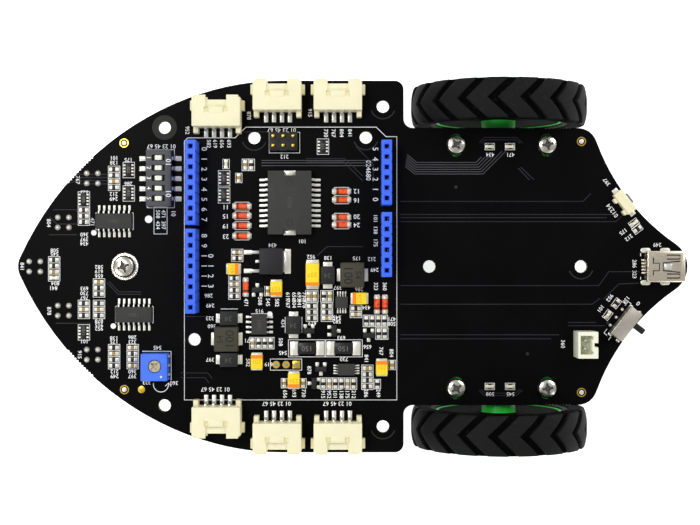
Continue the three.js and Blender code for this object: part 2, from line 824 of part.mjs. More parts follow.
function gearboxFrame() {
  const halfX = motorHalfWidth;
  const halfZ = motorHalfHeight;
  const plate = (lowY, highY) => block([-halfX, lowY, -halfZ], [halfX, highY, halfZ]);
  const inner = gearboxBack + gearboxPlate;
  const outer = gearboxFace - gearboxPlate;
  const post = (x, z, radius) => rodAlongY(radius, inner - 0.2, outer + 0.2, 12, x, z);
  const frame = join(
    plate(gearboxBack, inner),
    plate(outer, gearboxFace),
    post(halfX - postInset, halfZ - postInset, postRadius),
    post(halfX - postInset, postInset - halfZ, postRadius),
    post(postInset - halfX, halfZ - postInset, postRadius),
    post(postInset - halfX, postInset - halfZ, postRadius),
    post(centreDistance, 0, clusterPinRadius),
  );
  return cut(
    frame,
    rodAlongY(motorShaftRadius + slideGap, gearboxBack - 1, inner + 1, 16),
    rodAlongY(outputShaftRadius + runningGap, outer - 1, gearboxFace + 1, 24),
  );
}

function clusterGear() {
  const largeEnd = firstStageY + gearThickness;
  const smallEnd = secondStageY + gearThickness + 0.2;
  const gapToLarge = Math.PI + Math.PI / largeGearTeeth;
  const gapToSmall = Math.PI + Math.PI / smallGearTeeth;
  const barrel = rodAlongY(gearModule * (smallGearTeeth / 2 - 1.2), firstStageY, smallEnd, 16);
  const gear = join(
    spurGear(largeGearTeeth, firstStageY, largeEnd, gapToLarge),
    spurGear(smallGearTeeth, secondStageY - 0.2, smallEnd, gapToSmall),
    barrel,
  );
  const bore = rodAlongY(clusterPinRadius + runningGap, firstStageY - 1, smallEnd + 1, 12);
  return cut(gear, bore).translate([centreDistance, 0, 0]);
}

function outputGear() {
  const gear = spurGear(largeGearTeeth, secondStageY, secondStageY + gearThickness, 0);
  return cut(gear, rodAlongY(outputShaftRadius + runningGap, secondStageY - 1, gearboxFace, 24));
}

function outputShaft() {
  const start = secondStageY - 0.3;
  const end = wheelMiddleY + hubOutboardEnd - 0.6;
  const flatFace = outputShaftRadius - shaftFlatDepth;
  const flatStart = gearboxFace + 0.5;
  const beyond = outputShaftRadius + 1;
  return cut(
    rodAlongY(outputShaftRadius, start, end, 24),
    block([flatFace, flatStart, -beyond], [beyond, end + 1, beyond]),
  );
}

function motorBracket() {
  const top = motorHalfHeight + motorDeckGap - seatGap;
  const innerX = motorHalfWidth + bracketClearance;
  const innerZ = -motorHalfHeight - bracketClearance;
  const outerX = innerX + bracketWall;
  const outerZ = innerZ - bracketWall;
  const halfProfile = [
    [innerX, innerZ],
    [innerX, top],
    [earReach, top],
    [earReach, top - earThickness],
    [outerX, top - earThickness],
    [outerX, outerZ + bracketChamfer],
    [outerX - bracketChamfer, outerZ],
  ];
  const otherHalf = halfProfile.map(([x, z]) => [-x, z]).reverse();
  const outerY = bayWall - bracketInset;
  const body = plateAlongY(outline([...halfProfile, ...otherHalf].reverse()), outerY - bracketWidth, outerY);
  const bores = [1, -1].map((end) =>
    rodAlongZ(
      bracketScrewRadius + runningGap, 0, top + 1, 16, (end * bracketScrewSpacing) / 2, bracketScrewY,
    ),
  );
  return cut(body, ...bores);
}

// Rings of points from the inner face of the tyre to the outer one, joined into one closed surface.
// The lugs lag behind the middle of the tread towards both shoulders, which makes the chevrons.
function tyre() {
  const half = tyreWidth / 2;
  const pitch = (2 * Math.PI) / lugCount;
  const lugEnd = lugShare * pitch;
  const flank = 0.015 * pitch;
  const sections = [
    { y: -half, radius: wheelRadius - shoulderDrop },
    { y: shoulderDrop - half, radius: wheelRadius },
    { y: 0, radius: wheelRadius },
    { y: half - shoulderDrop, radius: wheelRadius },
    { y: half, radius: wheelRadius - shoulderDrop },
  ];
  const lugProfile = [
    [0, 0],
    [lugEnd / 2, 0],
    [lugEnd, 0],
    [lugEnd + flank, treadDepth],
    [pitch - flank, treadDepth],
  ];
  const ringPoints = (y, radius, lag) =>
    Array.from({ length: lugCount }, (_, lug) =>
      lugProfile.map(([offset, depth]) => {
        const angle = lug * pitch + offset - lag;
        return [(radius - depth) * Math.sin(angle), y, (radius - depth) * Math.cos(angle)];
      }),
    ).flat();
  const innerPoints = (y, lag) =>
    Array.from({ length: lugCount }, (_, lug) =>
      lugProfile.map(([offset]) => {
        const angle = lug * pitch + offset - lag;
        return [tyreInnerRadius * Math.sin(angle), y, tyreInnerRadius * Math.cos(angle)];
      }),
    ).flat();
  const lagAt = (y) => THREE.MathUtils.degToRad(chevronSweep * Math.abs(y));
  const rings = [
    innerPoints(-half, lagAt(half)),
    ...sections.map(({ y, radius }) => ringPoints(y, radius, lagAt(y))),
    innerPoints(half, lagAt(half)),
  ];
  const count = rings[0].length;
  const index = [];
  for (let ring = 0; ring < rings.length; ring += 1) {
    const next = (ring + 1) % rings.length;
    for (let i = 0; i < count; i += 1) {
      const j = (i + 1) % count;
      const [a, b] = [ring * count + i, ring * count + j];
      const [c, d] = [next * count + i, next * count + j];
      index.push(a, b, c, b, d, c);
    }
  }
  const geometry = new THREE.BufferGeometry();
  geometry.setAttribute("position", new THREE.Float32BufferAttribute(rings.flat(2), 3));
  geometry.setIndex(index);
  return solid(geometry);
}

function rim() {
  const outer = tyreInnerRadius - seatGap;
  const bed = outer - rimWall;
  const half = rimWidth / 2;
  const web = rimWebThickness / 2;
  const body = turnedAboutY(
    [
      [0, -hubInboardEnd],
      [hubRadius, -hubInboardEnd],
      [hubRadius + 0.6, -web],
      [bed - 0.6, -web],
      [bed, -half],
      [outer, -half],
      [outer, half],
      [bed, half],
      [bed - 0.6, web],
      [hubRadius + 0.6, web],
      [hubRadius, hubOutboardEnd],
      [0, hubOutboardEnd],
    ],
    30,
  );
  const holeCircle = (hubRadius + bed) / 2;
  const holes = Array.from({ length: rimHoleCount }, (_, i) => {
    const angle = (2 * Math.PI * i) / rimHoleCount;
    const [x, z] = [holeCircle * Math.sin(angle), holeCircle * Math.cos(angle)];
    return rodAlongY(rimHoleRadius, -half, half, 12, x, z);
  });
  const boreRadius = outputShaftRadius + runningGap;
  const flatFace = boreRadius - shaftFlatDepth;
  const beyond = boreRadius + 1;
  const bore = cut(
    rodAlongY(boreRadius, -hubInboardEnd - 1, hubOutboardEnd + 1, 24),
    block([flatFace, -hubInboardEnd - 2, -beyond], [beyond, hubOutboardEnd + 2, beyond]),
  );
  return cut(body, ...holes, bore);
}

function addDrive(sideName, side) {
  const group = addGroup(axleX, 0, axleZ);
  const add = (name, shape, look) => addPiece(group, `${sideName}_${name}`, onSide(shape, side), look);
  add("tyre", tyre().translate([0, wheelMiddleY, 0]), blackRubber);
  add("rim", rim().translate([0, wheelMiddleY, 0]), greenPlastic);
  add("output_shaft", outputShaft(), steel);
  add("output_gear", outputGear(), brassPlate);
  add("cluster_gear", clusterGear(), brassPlate);
  add("gearbox_frame", gearboxFrame(), brassPlate);
  add("motor_rotor", rotor(), copperBrown);
  add("motor_can", motorCan(), steel);
  add("motor_end_cap", motorEndCap(), whiteNylon);
  add("motor_bracket", motorBracket(), greenPlastic);
  for (const [endName, end] of [["front", 1], ["rear", -1]]) {
    const screw = panHeadScrew(
      bracketScrewHeadRadius, bracketScrewHeadHeight, bracketScrewRadius, bracketScrewLength, 16,
    );
    const place = [(end * bracketScrewSpacing) / 2, bracketScrewY, deckTop - axleZ + seatGap];
    add(`bracket_screw_${endName}`, screw.translate(place), zincSteel);
  }
}

addDeck();
addHeaders();
addFourPinSockets();
addUsbSocket();
addBatterySocket();
addDipSwitch();
addTrimmer();
addPowerSwitch();
addResetSwitch();
addLineSensors();
addCaster();
addDrive("left", 1);
addDrive("right", -1);

export default robot;
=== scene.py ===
"""Line follower robot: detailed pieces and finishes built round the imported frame.

Sizes in the classes below are millimetres in the frame of the CAD model: +X is forward, to the
pointed nose, +Y is the robot's left, +Z is up and the ground is z = 0. Blender's own unit is metres.
"""

import logging
import math
from collections.abc import Callable, Iterator, Sequence
from contextlib import contextmanager
from dataclasses import dataclass, field
from enum import Enum

import bpy
from mathutils import Matrix, Vector


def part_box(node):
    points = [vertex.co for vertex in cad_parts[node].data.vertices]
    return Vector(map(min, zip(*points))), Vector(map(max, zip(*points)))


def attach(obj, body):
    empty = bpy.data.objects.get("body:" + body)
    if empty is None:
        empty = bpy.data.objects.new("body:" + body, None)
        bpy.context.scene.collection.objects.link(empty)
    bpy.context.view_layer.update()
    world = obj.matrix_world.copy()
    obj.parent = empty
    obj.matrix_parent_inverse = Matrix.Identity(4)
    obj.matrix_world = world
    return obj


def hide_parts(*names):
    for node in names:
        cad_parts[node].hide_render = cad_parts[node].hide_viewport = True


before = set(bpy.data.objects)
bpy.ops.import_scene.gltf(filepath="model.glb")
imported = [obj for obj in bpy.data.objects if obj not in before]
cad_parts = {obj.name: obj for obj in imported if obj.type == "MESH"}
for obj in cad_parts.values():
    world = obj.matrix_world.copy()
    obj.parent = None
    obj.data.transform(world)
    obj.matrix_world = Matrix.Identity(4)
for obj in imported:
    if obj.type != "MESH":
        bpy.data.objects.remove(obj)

MM = 0.001
Point = tuple[float, float]
Corner = tuple[float, float, float]
log = logging.getLogger("line_follower")


# ---- Shader graph ----


class Value:
    """A shader socket that takes part in Python arithmetic."""

    def __init__(self, graph: "Graph", socket: bpy.types.NodeSocket) -> None:
        """Wraps one output socket of a graph."""
        self.graph = graph
        self.socket = socket

    def _math(self, operation: str, first: object, second: object) -> "Value":
        """Adds one Math node."""
        return self.graph.node("ShaderNodeMath", {"operation": operation}, {0: first, 1: second})

    def __add__(self, other: object) -> "Value":
        """Sum of two values."""
        return self._math("ADD", self, other)

    def __radd__(self, other: object) -> "Value":
        """Sum with a number on the left."""
        return self._math("ADD", other, self)

    def __sub__(self, other: object) -> "Value":
        """Difference of two values."""
        return self._math("SUBTRACT", self, other)

    def __rsub__(self, other: object) -> "Value":
        """Difference with a number on the left."""
        return self._math("SUBTRACT", other, self)

    def __mul__(self, other: object) -> "Value":
        """Product of two values."""
        return self._math("MULTIPLY", self, other)

    def __rmul__(self, other: object) -> "Value":
        """Product with a number on the left."""
        return self._math("MULTIPLY", other, self)

    def past(self, limit: float, width: float) -> "Value":
        """How far the value is past a limit, as a mask from 0 to 1.

        Args:
            limit: Value at which the mask starts to rise.
            width: Distance over which it rises to 1.

        Returns:
            The clamped mask.
        """
        settings = {"operation": "MULTIPLY_ADD", "use_clamp": True}
        return self.graph.node("ShaderNodeMath", settings, {0: self, 1: 1 / width, 2: -limit / width})


class Graph:
    """The node tree of one material, with its surface shader."""

    def __init__(self, name: str) -> None:
        """Makes an empty material of that name."""
        self.material = bpy.data.materials.new(name)
        self.material.use_nodes = True
        self.tree = self.material.node_tree
        self.shader = self.tree.nodes["Principled BSDF"]

    def feed(self, socket: bpy.types.NodeSocket, value: object) -> None:
        """Links or sets one input socket.

        Args:
            socket: The input to fill.
            value: A Value to link, or a plain number, vector or colour.
        """
        if isinstance(value, Value):
            self.tree.links.new(value.socket, socket)
        elif socket.type == "RGBA" and len(value) == 3:
            socket.default_value = (*value, 1.0)
        else:
            socket.default_value = value

    def node(
        self,
        kind: str,
        settings: dict[str, object] | None = None,
        inputs: dict[int | str, object] | None = None,
        output: int | str = 0,
    ) -> Value:
        """Adds one node.

        Args:
            kind: Blender's type name of the node.
            settings: Attributes, set before the sockets.
            inputs: Values or links by socket name or number.
            output: Which output to return.

        Returns:
            The chosen output.
        """
        made = self.tree.nodes.new(kind)
        for key, value in (settings or {}).items():
            setattr(made, key, value)
        for key, value in (inputs or {}).items():
            self.feed(made.inputs[key], value)
        return Value(self, made.outputs[output])

    def place(self, stretch: Corner = (1.0, 1.0, 1.0)) -> Value:
        """Object coordinates, stretched along the axes."""
        where = self.node("ShaderNodeTexCoord", output="Object")
        return self.node("ShaderNodeMapping", {"vector_type": "POINT"}, {"Vector": where, "Scale": stretch})

    def noise(self, scale: float, detail: float = 2.0, stretch: Corner = (1.0, 1.0, 1.0)) -> Value:
        """Fractal noise.

        Args:
            scale: Lumps per metre.
            detail: Octaves.
            stretch: Scale along each axis.

        Returns:
            A value round 0.5.
        """
        inputs = {"Vector": self.place(stretch), "Scale": scale, "Detail": detail, "Roughness": 0.6}
        return self.node("ShaderNodeTexNoise", {"noise_dimensions": "3D"}, inputs)

    def blend(self, mask: Value, first: object, second: object) -> Value:
        """Colour mix of first, where the mask is 0, and second, where it is 1."""
        settings = {"data_type": "RGBA", "clamp_factor": True}
        return self.node("ShaderNodeMix", settings, {0: mask, 6: first, 7: second}, 2)

    def bump(self, height: Value, depth_mm: float, under: Value | None = None) -> Value:
        """Normal bent by a height.

        Args:
            height: The height, from 0 to 1.
            depth_mm: Depth of the relief in millimetres.
            under: A coarser bump beneath this one.

        Returns:
            The bent normal.
        """
        inputs = {"Height": height, "Distance": depth_mm * MM, "Strength": 1.0}
        if under is not None:
            inputs["Normal"] = under
        return self.node("ShaderNodeBump", {}, inputs)

    def set(self, **sockets: object) -> None:
        """Fills sockets of the surface shader, with _ for the spaces in their names."""
        for name, value in sockets.items():
            self.feed(self.shader.inputs[name.replace("_", " ")], value)


# ---- Finishes ----


def tint(code: str, gain: float = 1.0) -> Corner:
    """Linear colour of a six-digit hexadecimal code.

    Args:
        code: Red, green and blue, two digits each.
        gain: Factor on the linear values.

    Returns:
        Red, green and blue from 0 to 1.
    """
    parts = [int(code[i : i + 2], 16) / 255 for i in (0, 2, 4)]
    linear = [p / 12.92 if p <= 0.04045 else ((p + 0.055) / 1.055) ** 2.4 for p in parts]
    return tuple(min(1.0, gain * p) for p in linear)


@dataclass(frozen=True)
class Finish:
    """A surface finish, made once as a material and shared by its pieces."""

    name: str
    colour: str
    slot: str = ""
    roughness: float = 0.5

    def shade(self, graph: Graph) -> None:
        """Fills the shader; each kind of finish has its own way."""
        raise NotImplementedError

    def material(self) -> bpy.types.Material:
        """The material, made on first use."""
        known = bpy.data.materials.get(self.name)
        if known is not None:
            return known
        graph = Graph(self.name)
        self.shade(graph)
        return graph.material

    def dress(self, piece: bpy.types.Object) -> None:
        """Puts the material on every face of a piece."""
        if not piece.material_slots:
            piece.data.materials.append(None)
        for slot in piece.material_slots:
            slot.material = self.material()


@dataclass(frozen=True)
class MouldedPlastic(Finish):
    """Injection-moulded plastic: fine eroded grain, cloudy pigment and rubbed patches."""

    grain: float = 0.006
    gloss: float = 0.4
    mottle: float = 0.12

    def shade(self, graph: Graph) -> None:
        """Pigment clouds, grain and rubbed patches."""
        cloud = graph.noise(260, 3)
        grain = graph.noise(6500, 2)
        rubbed = graph.noise(900, 4, (1.0, 0.35, 1.0)).past(0.56, 0.16)
        base = graph.blend(cloud, tint(self.colour, 1 - self.mottle), tint(self.colour, 1 + self.mottle))
        graph.set(
            Base_Color=graph.blend(rubbed * 0.2, base, tint(self.colour, 1 + 2.5 * self.mottle)),
            Roughness=self.roughness + 0.16 * (grain - 0.5) + 0.12 * rubbed,
            Normal=graph.bump(grain, self.grain),
            Specular_IOR_Level=self.gloss,
        )


@dataclass(frozen=True)
class SolderMask(Finish):
    """Dark lacquer over laminate: faint glass-cloth weave, copper edges and dust."""

    weave: float = 2600.0
    shine: float = 0.06

    def shade(self, graph: Graph) -> None:
        """Weave under the lacquer, cloudy thickness and a few dust specks."""
        waves = {"wave_type": "BANDS", "bands_direction": "X", "wave_profile": "SIN"}
        across = graph.node("ShaderNodeTexWave", waves, {"Vector": graph.place(), "Scale": self.weave / 3})
        waves["bands_direction"] = "Y"
        along = graph.node("ShaderNodeTexWave", waves, {"Vector": graph.place(), "Scale": self.weave / 3})
        cloud = graph.noise(70, 3)
        dust = graph.noise(1900, 3).past(0.68, 0.05)
        lacquer = graph.blend(cloud, tint(self.colour, 0.7), tint(self.colour, 1.6))
        facing = graph.node("ShaderNodeSeparateXYZ", {}, {0: graph.node("ShaderNodeNewGeometry", output="Normal")}, 2)
        edge = (facing * facing).past(0.3, 0.2)
        graph.set(
            Base_Color=graph.blend(edge, tint("5A5028"), graph.blend(dust * 0.12, lacquer, tint("3A3A3C"))),
            Roughness=self.roughness + 0.14 * (cloud - 0.5) + 0.1 * dust,
            Normal=graph.bump(across * along, 0.0015, graph.bump(cloud, 0.02)),
            Specular_IOR_Level=self.shine,
        )


@dataclass(frozen=True)
class Metal(Finish):
    """Plated or bare metal: drawn lines along one axis, tarnish and handling marks."""

    drawn: Corner = (0.15, 1.0, 1.0)
    lines: float = 0.002
    tarnish: float = 0.2
    lumps: float = 0.0
    metal: float = 1.0

    def shade(self, graph: Graph) -> None:
        """Drawn lines, tarnish clouds and soft lumps where the metal was molten."""
        line = graph.noise(5200, 3, self.drawn)
        stain = graph.noise(650, 4).past(0.5, 0.25)
        swell = graph.noise(1500, 2)
        base = graph.blend(stain * self.tarnish, tint(self.colour), tint(self.colour, 0.45))
        graph.set(
            Base_Color=graph.blend(line * 0.3, base, tint(self.colour, 1.25)),
            Roughness=self.roughness + 0.2 * (line - 0.5) + 0.2 * (stain * self.tarnish),
            Metallic=self.metal - 0.25 * (stain * self.tarnish),
            Normal=graph.bump(line, self.lines, graph.bump(swell, self.lumps)),
        )


@dataclass(frozen=True)
class Rubber(Finish):
    """Tyre rubber: matt, with fine pores, pale rubbed crests and dust in patches."""

    shine: float = 0.18

    def shade(self, graph: Graph) -> None:
        """Pores, dust and rubbed crests."""
        pores = graph.noise(4200, 3)
        dust = graph.noise(330, 5).past(0.47, 0.3)
        scuff = graph.noise(1500, 3).past(0.58, 0.12)
        dusted = graph.blend(dust * 0.5, tint(self.colour), tint(self.colour, 2.4))
        graph.set(
            Base_Color=graph.blend(scuff * 0.08, dusted, tint("5C5C5E")),
            Roughness=self.roughness + 0.15 * (pores - 0.5) + 0.1 * dust,
            Normal=graph.bump(pores, 0.02, graph.bump(dust, 0.03)),
            Specular_IOR_Level=self.shine,
        )


@dataclass(frozen=True)
class PrintedInk(Finish):
    """Screen-printed ink: thin, slightly porous, uneven at its edges."""

    def shade(self, graph: Graph) -> None:
        """Pinholes and uneven thickness."""
        pores = graph.noise(5200, 2)
        worn = graph.noise(1300, 4).past(0.6, 0.12)
        graph.set(
            Base_Color=graph.blend(worn * 0.4, tint(self.colour), tint(self.colour, 0.6)),
            Roughness=self.roughness + 0.2 * (pores - 0.5),
            Normal=graph.bump(pores, 0.004),
            Specular_IOR_Level=0.3,
        )


@dataclass(frozen=True)
class TintedGlass(Finish):
    """Coloured glass over a dark die: bright rim colour, cloudy core and a glossy coat."""

    core: str = "3A0A05"

    def shade(self, graph: Graph) -> None:
        """Cloudy core colour under a clear coat."""
        core = graph.noise(1100, 3).past(0.5, 0.2)
        ripple = graph.noise(2600, 2)
        graph.set(
            Base_Color=graph.blend(core * 0.65, tint(self.colour), tint(self.core)),
            Roughness=self.roughness + 0.1 * ripple,
            Normal=graph.bump(ripple, 0.006),
            Coat_Weight=0.8 + 0.2 * ripple,
            Coat_Roughness=0.06,
        )


MASK = SolderMask("solder_mask", "060607", "deck_board", 0.4, shine=0.04)
TRACK = SolderMask("raised_track", "25252A", "deck_board", 0.35, shine=0.2)
BRIGHT_TRACK = SolderMask("raised_track_bright", "48484C", "deck_board", 0.35, shine=0.2)
RECESS = SolderMask("recess_grey", "222220", "deck_board", 0.5, shine=0.2)
INK = PrintedInk("printed_ink", "FFFFFF", "", 0.55)
DIM_INK = PrintedInk("laser_marking", "6E6C62", "", 0.6)
FAINT_INK = PrintedInk("faint_marking", "4C4A3C", "", 0.6)
AMBER_INK = PrintedInk("capacitor_digits", "DDA916", "", 0.6)
HEADER_BLUE = MouldedPlastic("header_nylon_blue", "3A68F0", "header_nylon", 0.42)
TRIMMER_BLUE = MouldedPlastic("trimmer_body_blue", "4474F4", "header_nylon", 0.5, mottle=0.16)
CREAM = MouldedPlastic("socket_nylon_cream", "EFE9C4", "cream_nylon", 0.48, mottle=0.06)
WHITE = MouldedPlastic("plug_nylon_white", "EEF0DC", "white_nylon", 0.45, mottle=0.05)
# Grey switch plastic, also used for the painted shade in the screws' cross recesses.
GREY_PLASTIC_AND_SHADE = MouldedPlastic("grey_plastic_and_painted_shade", "4A4A4D", "grey_plastic", 0.55, mottle=0.2)
BUTTON_GREY = MouldedPlastic("button_plastic_grey", "77767F", "grey_plastic", 0.5)
BLACK = MouldedPlastic("moulded_plastic_black", "1C1C1E", "black_plastic", 0.5, mottle=0.25, gloss=0.3)
COMPOUND = MouldedPlastic("chip_compound", "32322F", "black_plastic", 0.55, mottle=0.2, gloss=0.3)
CERAMIC_DARK = MouldedPlastic("resistor_glaze_black", "121216", "black_plastic", 0.35, mottle=0.25)
CERAMIC_TAN = MouldedPlastic("capacitor_ceramic_tan", "A98B4F", "brass_plate", 0.5, mottle=0.25)
TANTALUM = MouldedPlastic("capacitor_case_yellow", "FFD81C", "", 0.45, mottle=0.07)
ORANGE_BAND = PrintedInk("capacitor_band_orange", "FF8A12", "", 0.5)
FERRITE = MouldedPlastic("inductor_case_olive", "3A3828", "black_plastic", 0.6, grain=0.02, mottle=0.2)
GREEN = MouldedPlastic("wheel_plastic_green", "18DC3C", "green_plastic", 0.4, mottle=0.1)
LAMP = TintedGlass("lamp_resin", "F4EFC4", "cream_nylon", 0.3, core="D8B84A")
GLASS = TintedGlass("diode_glass_orange", "F25A22", "", 0.2, core="7A1408")
TYRE = Rubber("tyre_rubber_black", "0D0D0E", "tyre_rubber", 0.7)
# Near-black rubber, also used for the disc of painted shade inside each wheel.
CARCASS_AND_SHADE = Rubber("tyre_carcass_and_painted_shade", "050505", "tyre_rubber", 0.75, shine=0.02)
SOLDER = Metal("solder_joint", "EDEBDD", "tin_plate", 0.34, lines=0.0, tarnish=0.25, lumps=0.05, metal=0.6)
TERMINAL = Metal("tinned_terminal", "E9E8E0", "tin_plate", 0.3, tarnish=0.2, metal=0.75)
NICKEL = Metal("shell_nickel", "E8DCC8", "tin_plate", 0.3, tarnish=0.3)
SWITCH_CASE = Metal("switch_case_steel", "BDB6AB", "tin_plate", 0.45, tarnish=0.3)
ZINC = Metal("screw_zinc", "E2DFD2", "zinc_steel", 0.24, tarnish=0.45)
GOLD = Metal("plated_ring_gold", "F0C850", "brass_plate", 0.3, tarnish=0.3)
CONTACT = Metal("contact_brass", "B89A54", "brass_plate", 0.35, tarnish=0.3)
BRASS = Metal("standoff_brass", "C6A557", "brass_plate", 0.3, tarnish=0.35)
STEEL = Metal("motor_can_steel", "A9A9A6", "motor_steel", 0.35, tarnish=0.35)
ROTOR_PLATE = Metal("trimmer_rotor_plate", "B9B296", "cream_nylon", 0.42, tarnish=0.3, metal=0.6)
CHROME = Metal("ball_chrome", "D9DBDD", "polished_steel", 0.1, lines=0.0003, tarnish=0.15)


# ---- The modelling bench ----


def deselect() -> None:
    """Deselects every object."""
    bpy.ops.object.select_all(action="DESELECT")


def make_active(shape: bpy.types.Object) -> None:
    """Selects one shape alone and makes it active."""
    deselect()
    shape.select_set(True)
    bpy.context.view_layer.objects.active = shape


@contextmanager
def editing(shape: bpy.types.Object, kind: str = "FACE") -> Iterator[None]:
    """Edit mode on one shape.

    Args:
        shape: The shape to edit.
        kind: What is selected: VERT, EDGE or FACE.

    Yields:
        Nothing; the operators inside act on the shape.
    """
    make_active(shape)
    bpy.ops.object.mode_set(mode="EDIT")
    bpy.ops.mesh.select_mode(type=kind)
    yield
    bpy.ops.object.mode_set(mode="OBJECT")


def settle(shape: bpy.types.Object) -> bpy.types.Object:
    """Moves a shape's place, turn and scale into its mesh, and returns it."""
    make_active(shape)
    bpy.ops.object.transform_apply(location=True, rotation=True, scale=True)
    return shape


def pick_faces(shape: bpy.types.Object, test: Callable[[Vector, Vector], bool]) -> None:
    """Selects the faces whose centre (in millimetres) and normal pass a test.

    Args:
        shape: The shape, in object mode.
        test: Takes centre and normal.
    """
    mesh = shape.data
    mesh.vertices.foreach_set("select", [False] * len(mesh.vertices))
    mesh.edges.foreach_set("select", [False] * len(mesh.edges))
    chosen = [bool(test(face.center / MM, face.normal)) for face in mesh.polygons]
    mesh.polygons.foreach_set("select", chosen)


def apply_modifier(shape: bpy.types.Object, kind: str, **settings: object) -> bpy.types.Object:
    """Adds one modifier and applies it.

    Args:
        shape: The shape to change.
        kind: Blender's modifier type.
        settings: Attributes of the modifier.

    Returns:
        The shape.
    """
    make_active(shape)
    made = shape.modifiers.new(kind.lower(), kind)
    for key, value in settings.items():
        setattr(made, key, value)
    bpy.ops.object.modifier_apply(modifier=made.name)
    return shape


def softened(shape: bpy.types.Object, width: float, segments: int = 2) -> bpy.types.Object:
    """Rounds the sharp edges of a shape.

    Args:
        shape: The shape.
        width: Width of the round in millimetres.
        segments: Faces across the round.

    Returns:
        The shape.
    """
    settings = {"width": width * MM, "segments": segments, "limit_method": "ANGLE"}
    return apply_modifier(shape, "BEVEL", angle_limit=math.radians(30), **settings)


def block(low: Corner, high: Corner, soft: float = 0.0, draft: float = 1.0) -> bpy.types.Object:
    """A block between two corners, with drafted sides and rounded edges.

    Args:
        low: Lowest corner in millimetres.
        high: Highest corner in millimetres.
        soft: Width of the rounded edges.
        draft: Size of the top over the size of the bottom.

    Returns:
        The shape.
    """
    middle = [(a + b) / 2 * MM for a, b in zip(low, high)]
    size = [(b - a) * MM for a, b in zip(low, high)]
    bpy.ops.mesh.primitive_cube_add(size=1, location=middle, scale=size)
    shape = settle(bpy.context.active_object)
    if draft != 1.0:
        pick_faces(shape, lambda centre, normal: normal.z > 0.9)
        with editing(shape):
            bpy.ops.transform.resize(value=(draft, draft, 1), center_override=middle)
    return softened(shape, soft) if soft else shape


def plate(outline: Sequence[Point], bottom: float, top: float, soft: float = 0.0) -> bpy.types.Object:
    """A flat plate of any outline, extruded upwards.

    Args:
        outline: Corners in order, in millimetres.
        bottom: Height of the lower face.
        top: Height of the upper face.
        soft: Width of the rounded edges.

    Returns:
        The shape.
    """
    bpy.ops.mesh.primitive_circle_add(vertices=len(outline), radius=1, fill_type="NGON")
    shape = bpy.context.active_object
    for vertex, (x, y) in zip(shape.data.vertices, outline):
        vertex.co = (x * MM, y * MM, bottom * MM)
    with editing(shape):
        bpy.ops.mesh.select_all(action="SELECT")
        lift = {"value": (0, 0, (top - bottom) * MM)}
        bpy.ops.mesh.extrude_region_move(TRANSFORM_OT_translate=lift)
        bpy.ops.mesh.select_all(action="SELECT")
        bpy.ops.mesh.normals_make_consistent(inside=False)
    return softened(shape, soft) if soft else shape


def turned(profile: Sequence[Point], sides: int = 32, ring: bool = False) -> bpy.types.Object:
    """Turns a profile about Z: a circle extruded and resized from point to point.

    Args:
        profile: Radius and height of each point, in millimetres.
        sides: Faces round the turn.
        ring: Whether the profile closes on itself round an open middle.

    Returns:
        The shape, on the Z axis.
    """
    radius, height = profile[0]
    fill = "NOTHING" if ring else "NGON"
    bpy.ops.mesh.primitive_circle_add(
        vertices=sides, radius=radius * MM, fill_type=fill, location=(0, 0, height * MM)
    )
    shape = settle(bpy.context.active_object)
    steps = [*profile[1:], profile[0]] if ring else profile[1:]
    with editing(shape, "EDGE" if ring else "FACE"):
        bpy.ops.mesh.select_all(action="SELECT")
        for next_radius, next_height in steps:
            lift = {"value": (0, 0, (next_height - height) * MM)}
            bpy.ops.mesh.extrude_region_move(TRANSFORM_OT_translate=lift)
            grow = next_radius / radius
            bpy.ops.transform.resize(value=(grow, grow, 1), center_override=(0, 0, next_height * MM))
            radius, height = next_radius, next_height
        bpy.ops.mesh.select_all(action="SELECT")
        bpy.ops.mesh.remove_doubles(threshold=0.002 * MM)
        bpy.ops.mesh.normals_make_consistent(inside=False)
    return shape


@dataclass(frozen=True)
class Place:
    """Where a copy stands: millimetres, and degrees about Z."""

    x: float = 0.0
    y: float = 0.0
    z: float = 0.0
    turn: float = 0.0

    def matrix(self) -> Matrix:
        """The move and turn in metres."""
        spin = Matrix.Rotation(math.radians(self.turn), 4, "Z")
        return Matrix.Translation((self.x * MM, self.y * MM, self.z * MM)) @ spin


def moved(shape: bpy.types.Object, place: Place) -> bpy.types.Object:
    """Moves a shape's mesh, and returns the shape."""
    shape.data.transform(place.matrix())
    return shape


def leaned(shape: bpy.types.Object, degrees: float, axis: str) -> bpy.types.Object:
    """Turns a shape's mesh about X, Y or Z through the origin, and returns the shape."""
    shape.data.transform(Matrix.Rotation(math.radians(degrees), 4, axis))
    return shape


def joined(shapes: Sequence[bpy.types.Object]) -> bpy.types.Object:
    """Joins shapes into one mesh.

    Args:
        shapes: One or more shapes.

    Returns:
        The joined shape.
    """
    make_active(shapes[0])
    for shape in shapes:
        shape.select_set(True)
    if len(shapes) > 1:
        bpy.ops.object.join()
    return bpy.context.view_layer.objects.active


def copied(shape: bpy.types.Object, places: Sequence[Place]) -> bpy.types.Object:
    """Copies a modelled shape to each place, and uses the shape up.

    Args:
        shape: The prototype, at the origin.
        places: Where the copies stand.

    Returns:
        All the copies in one mesh.
    """
    twins = []
    for place in places:
        twin = shape.copy()
        twin.data = shape.data.copy()
        bpy.context.collection.objects.link(twin)
        twins.append(moved(twin, place))
    bpy.data.objects.remove(shape)
    return joined(twins)


def carved(shape: bpy.types.Object, *cutters: bpy.types.Object) -> bpy.types.Object:
    """Cuts shapes out of a shape.

    Args:
        shape: The shape to cut.
        cutters: The shapes to take away, which are used up.

    Returns:
        The cut shape.
    """
    for cutter in cutters:
        apply_modifier(shape, "BOOLEAN", operation="DIFFERENCE", object=cutter, solver="EXACT")
        bpy.data.objects.remove(cutter)
    return shape


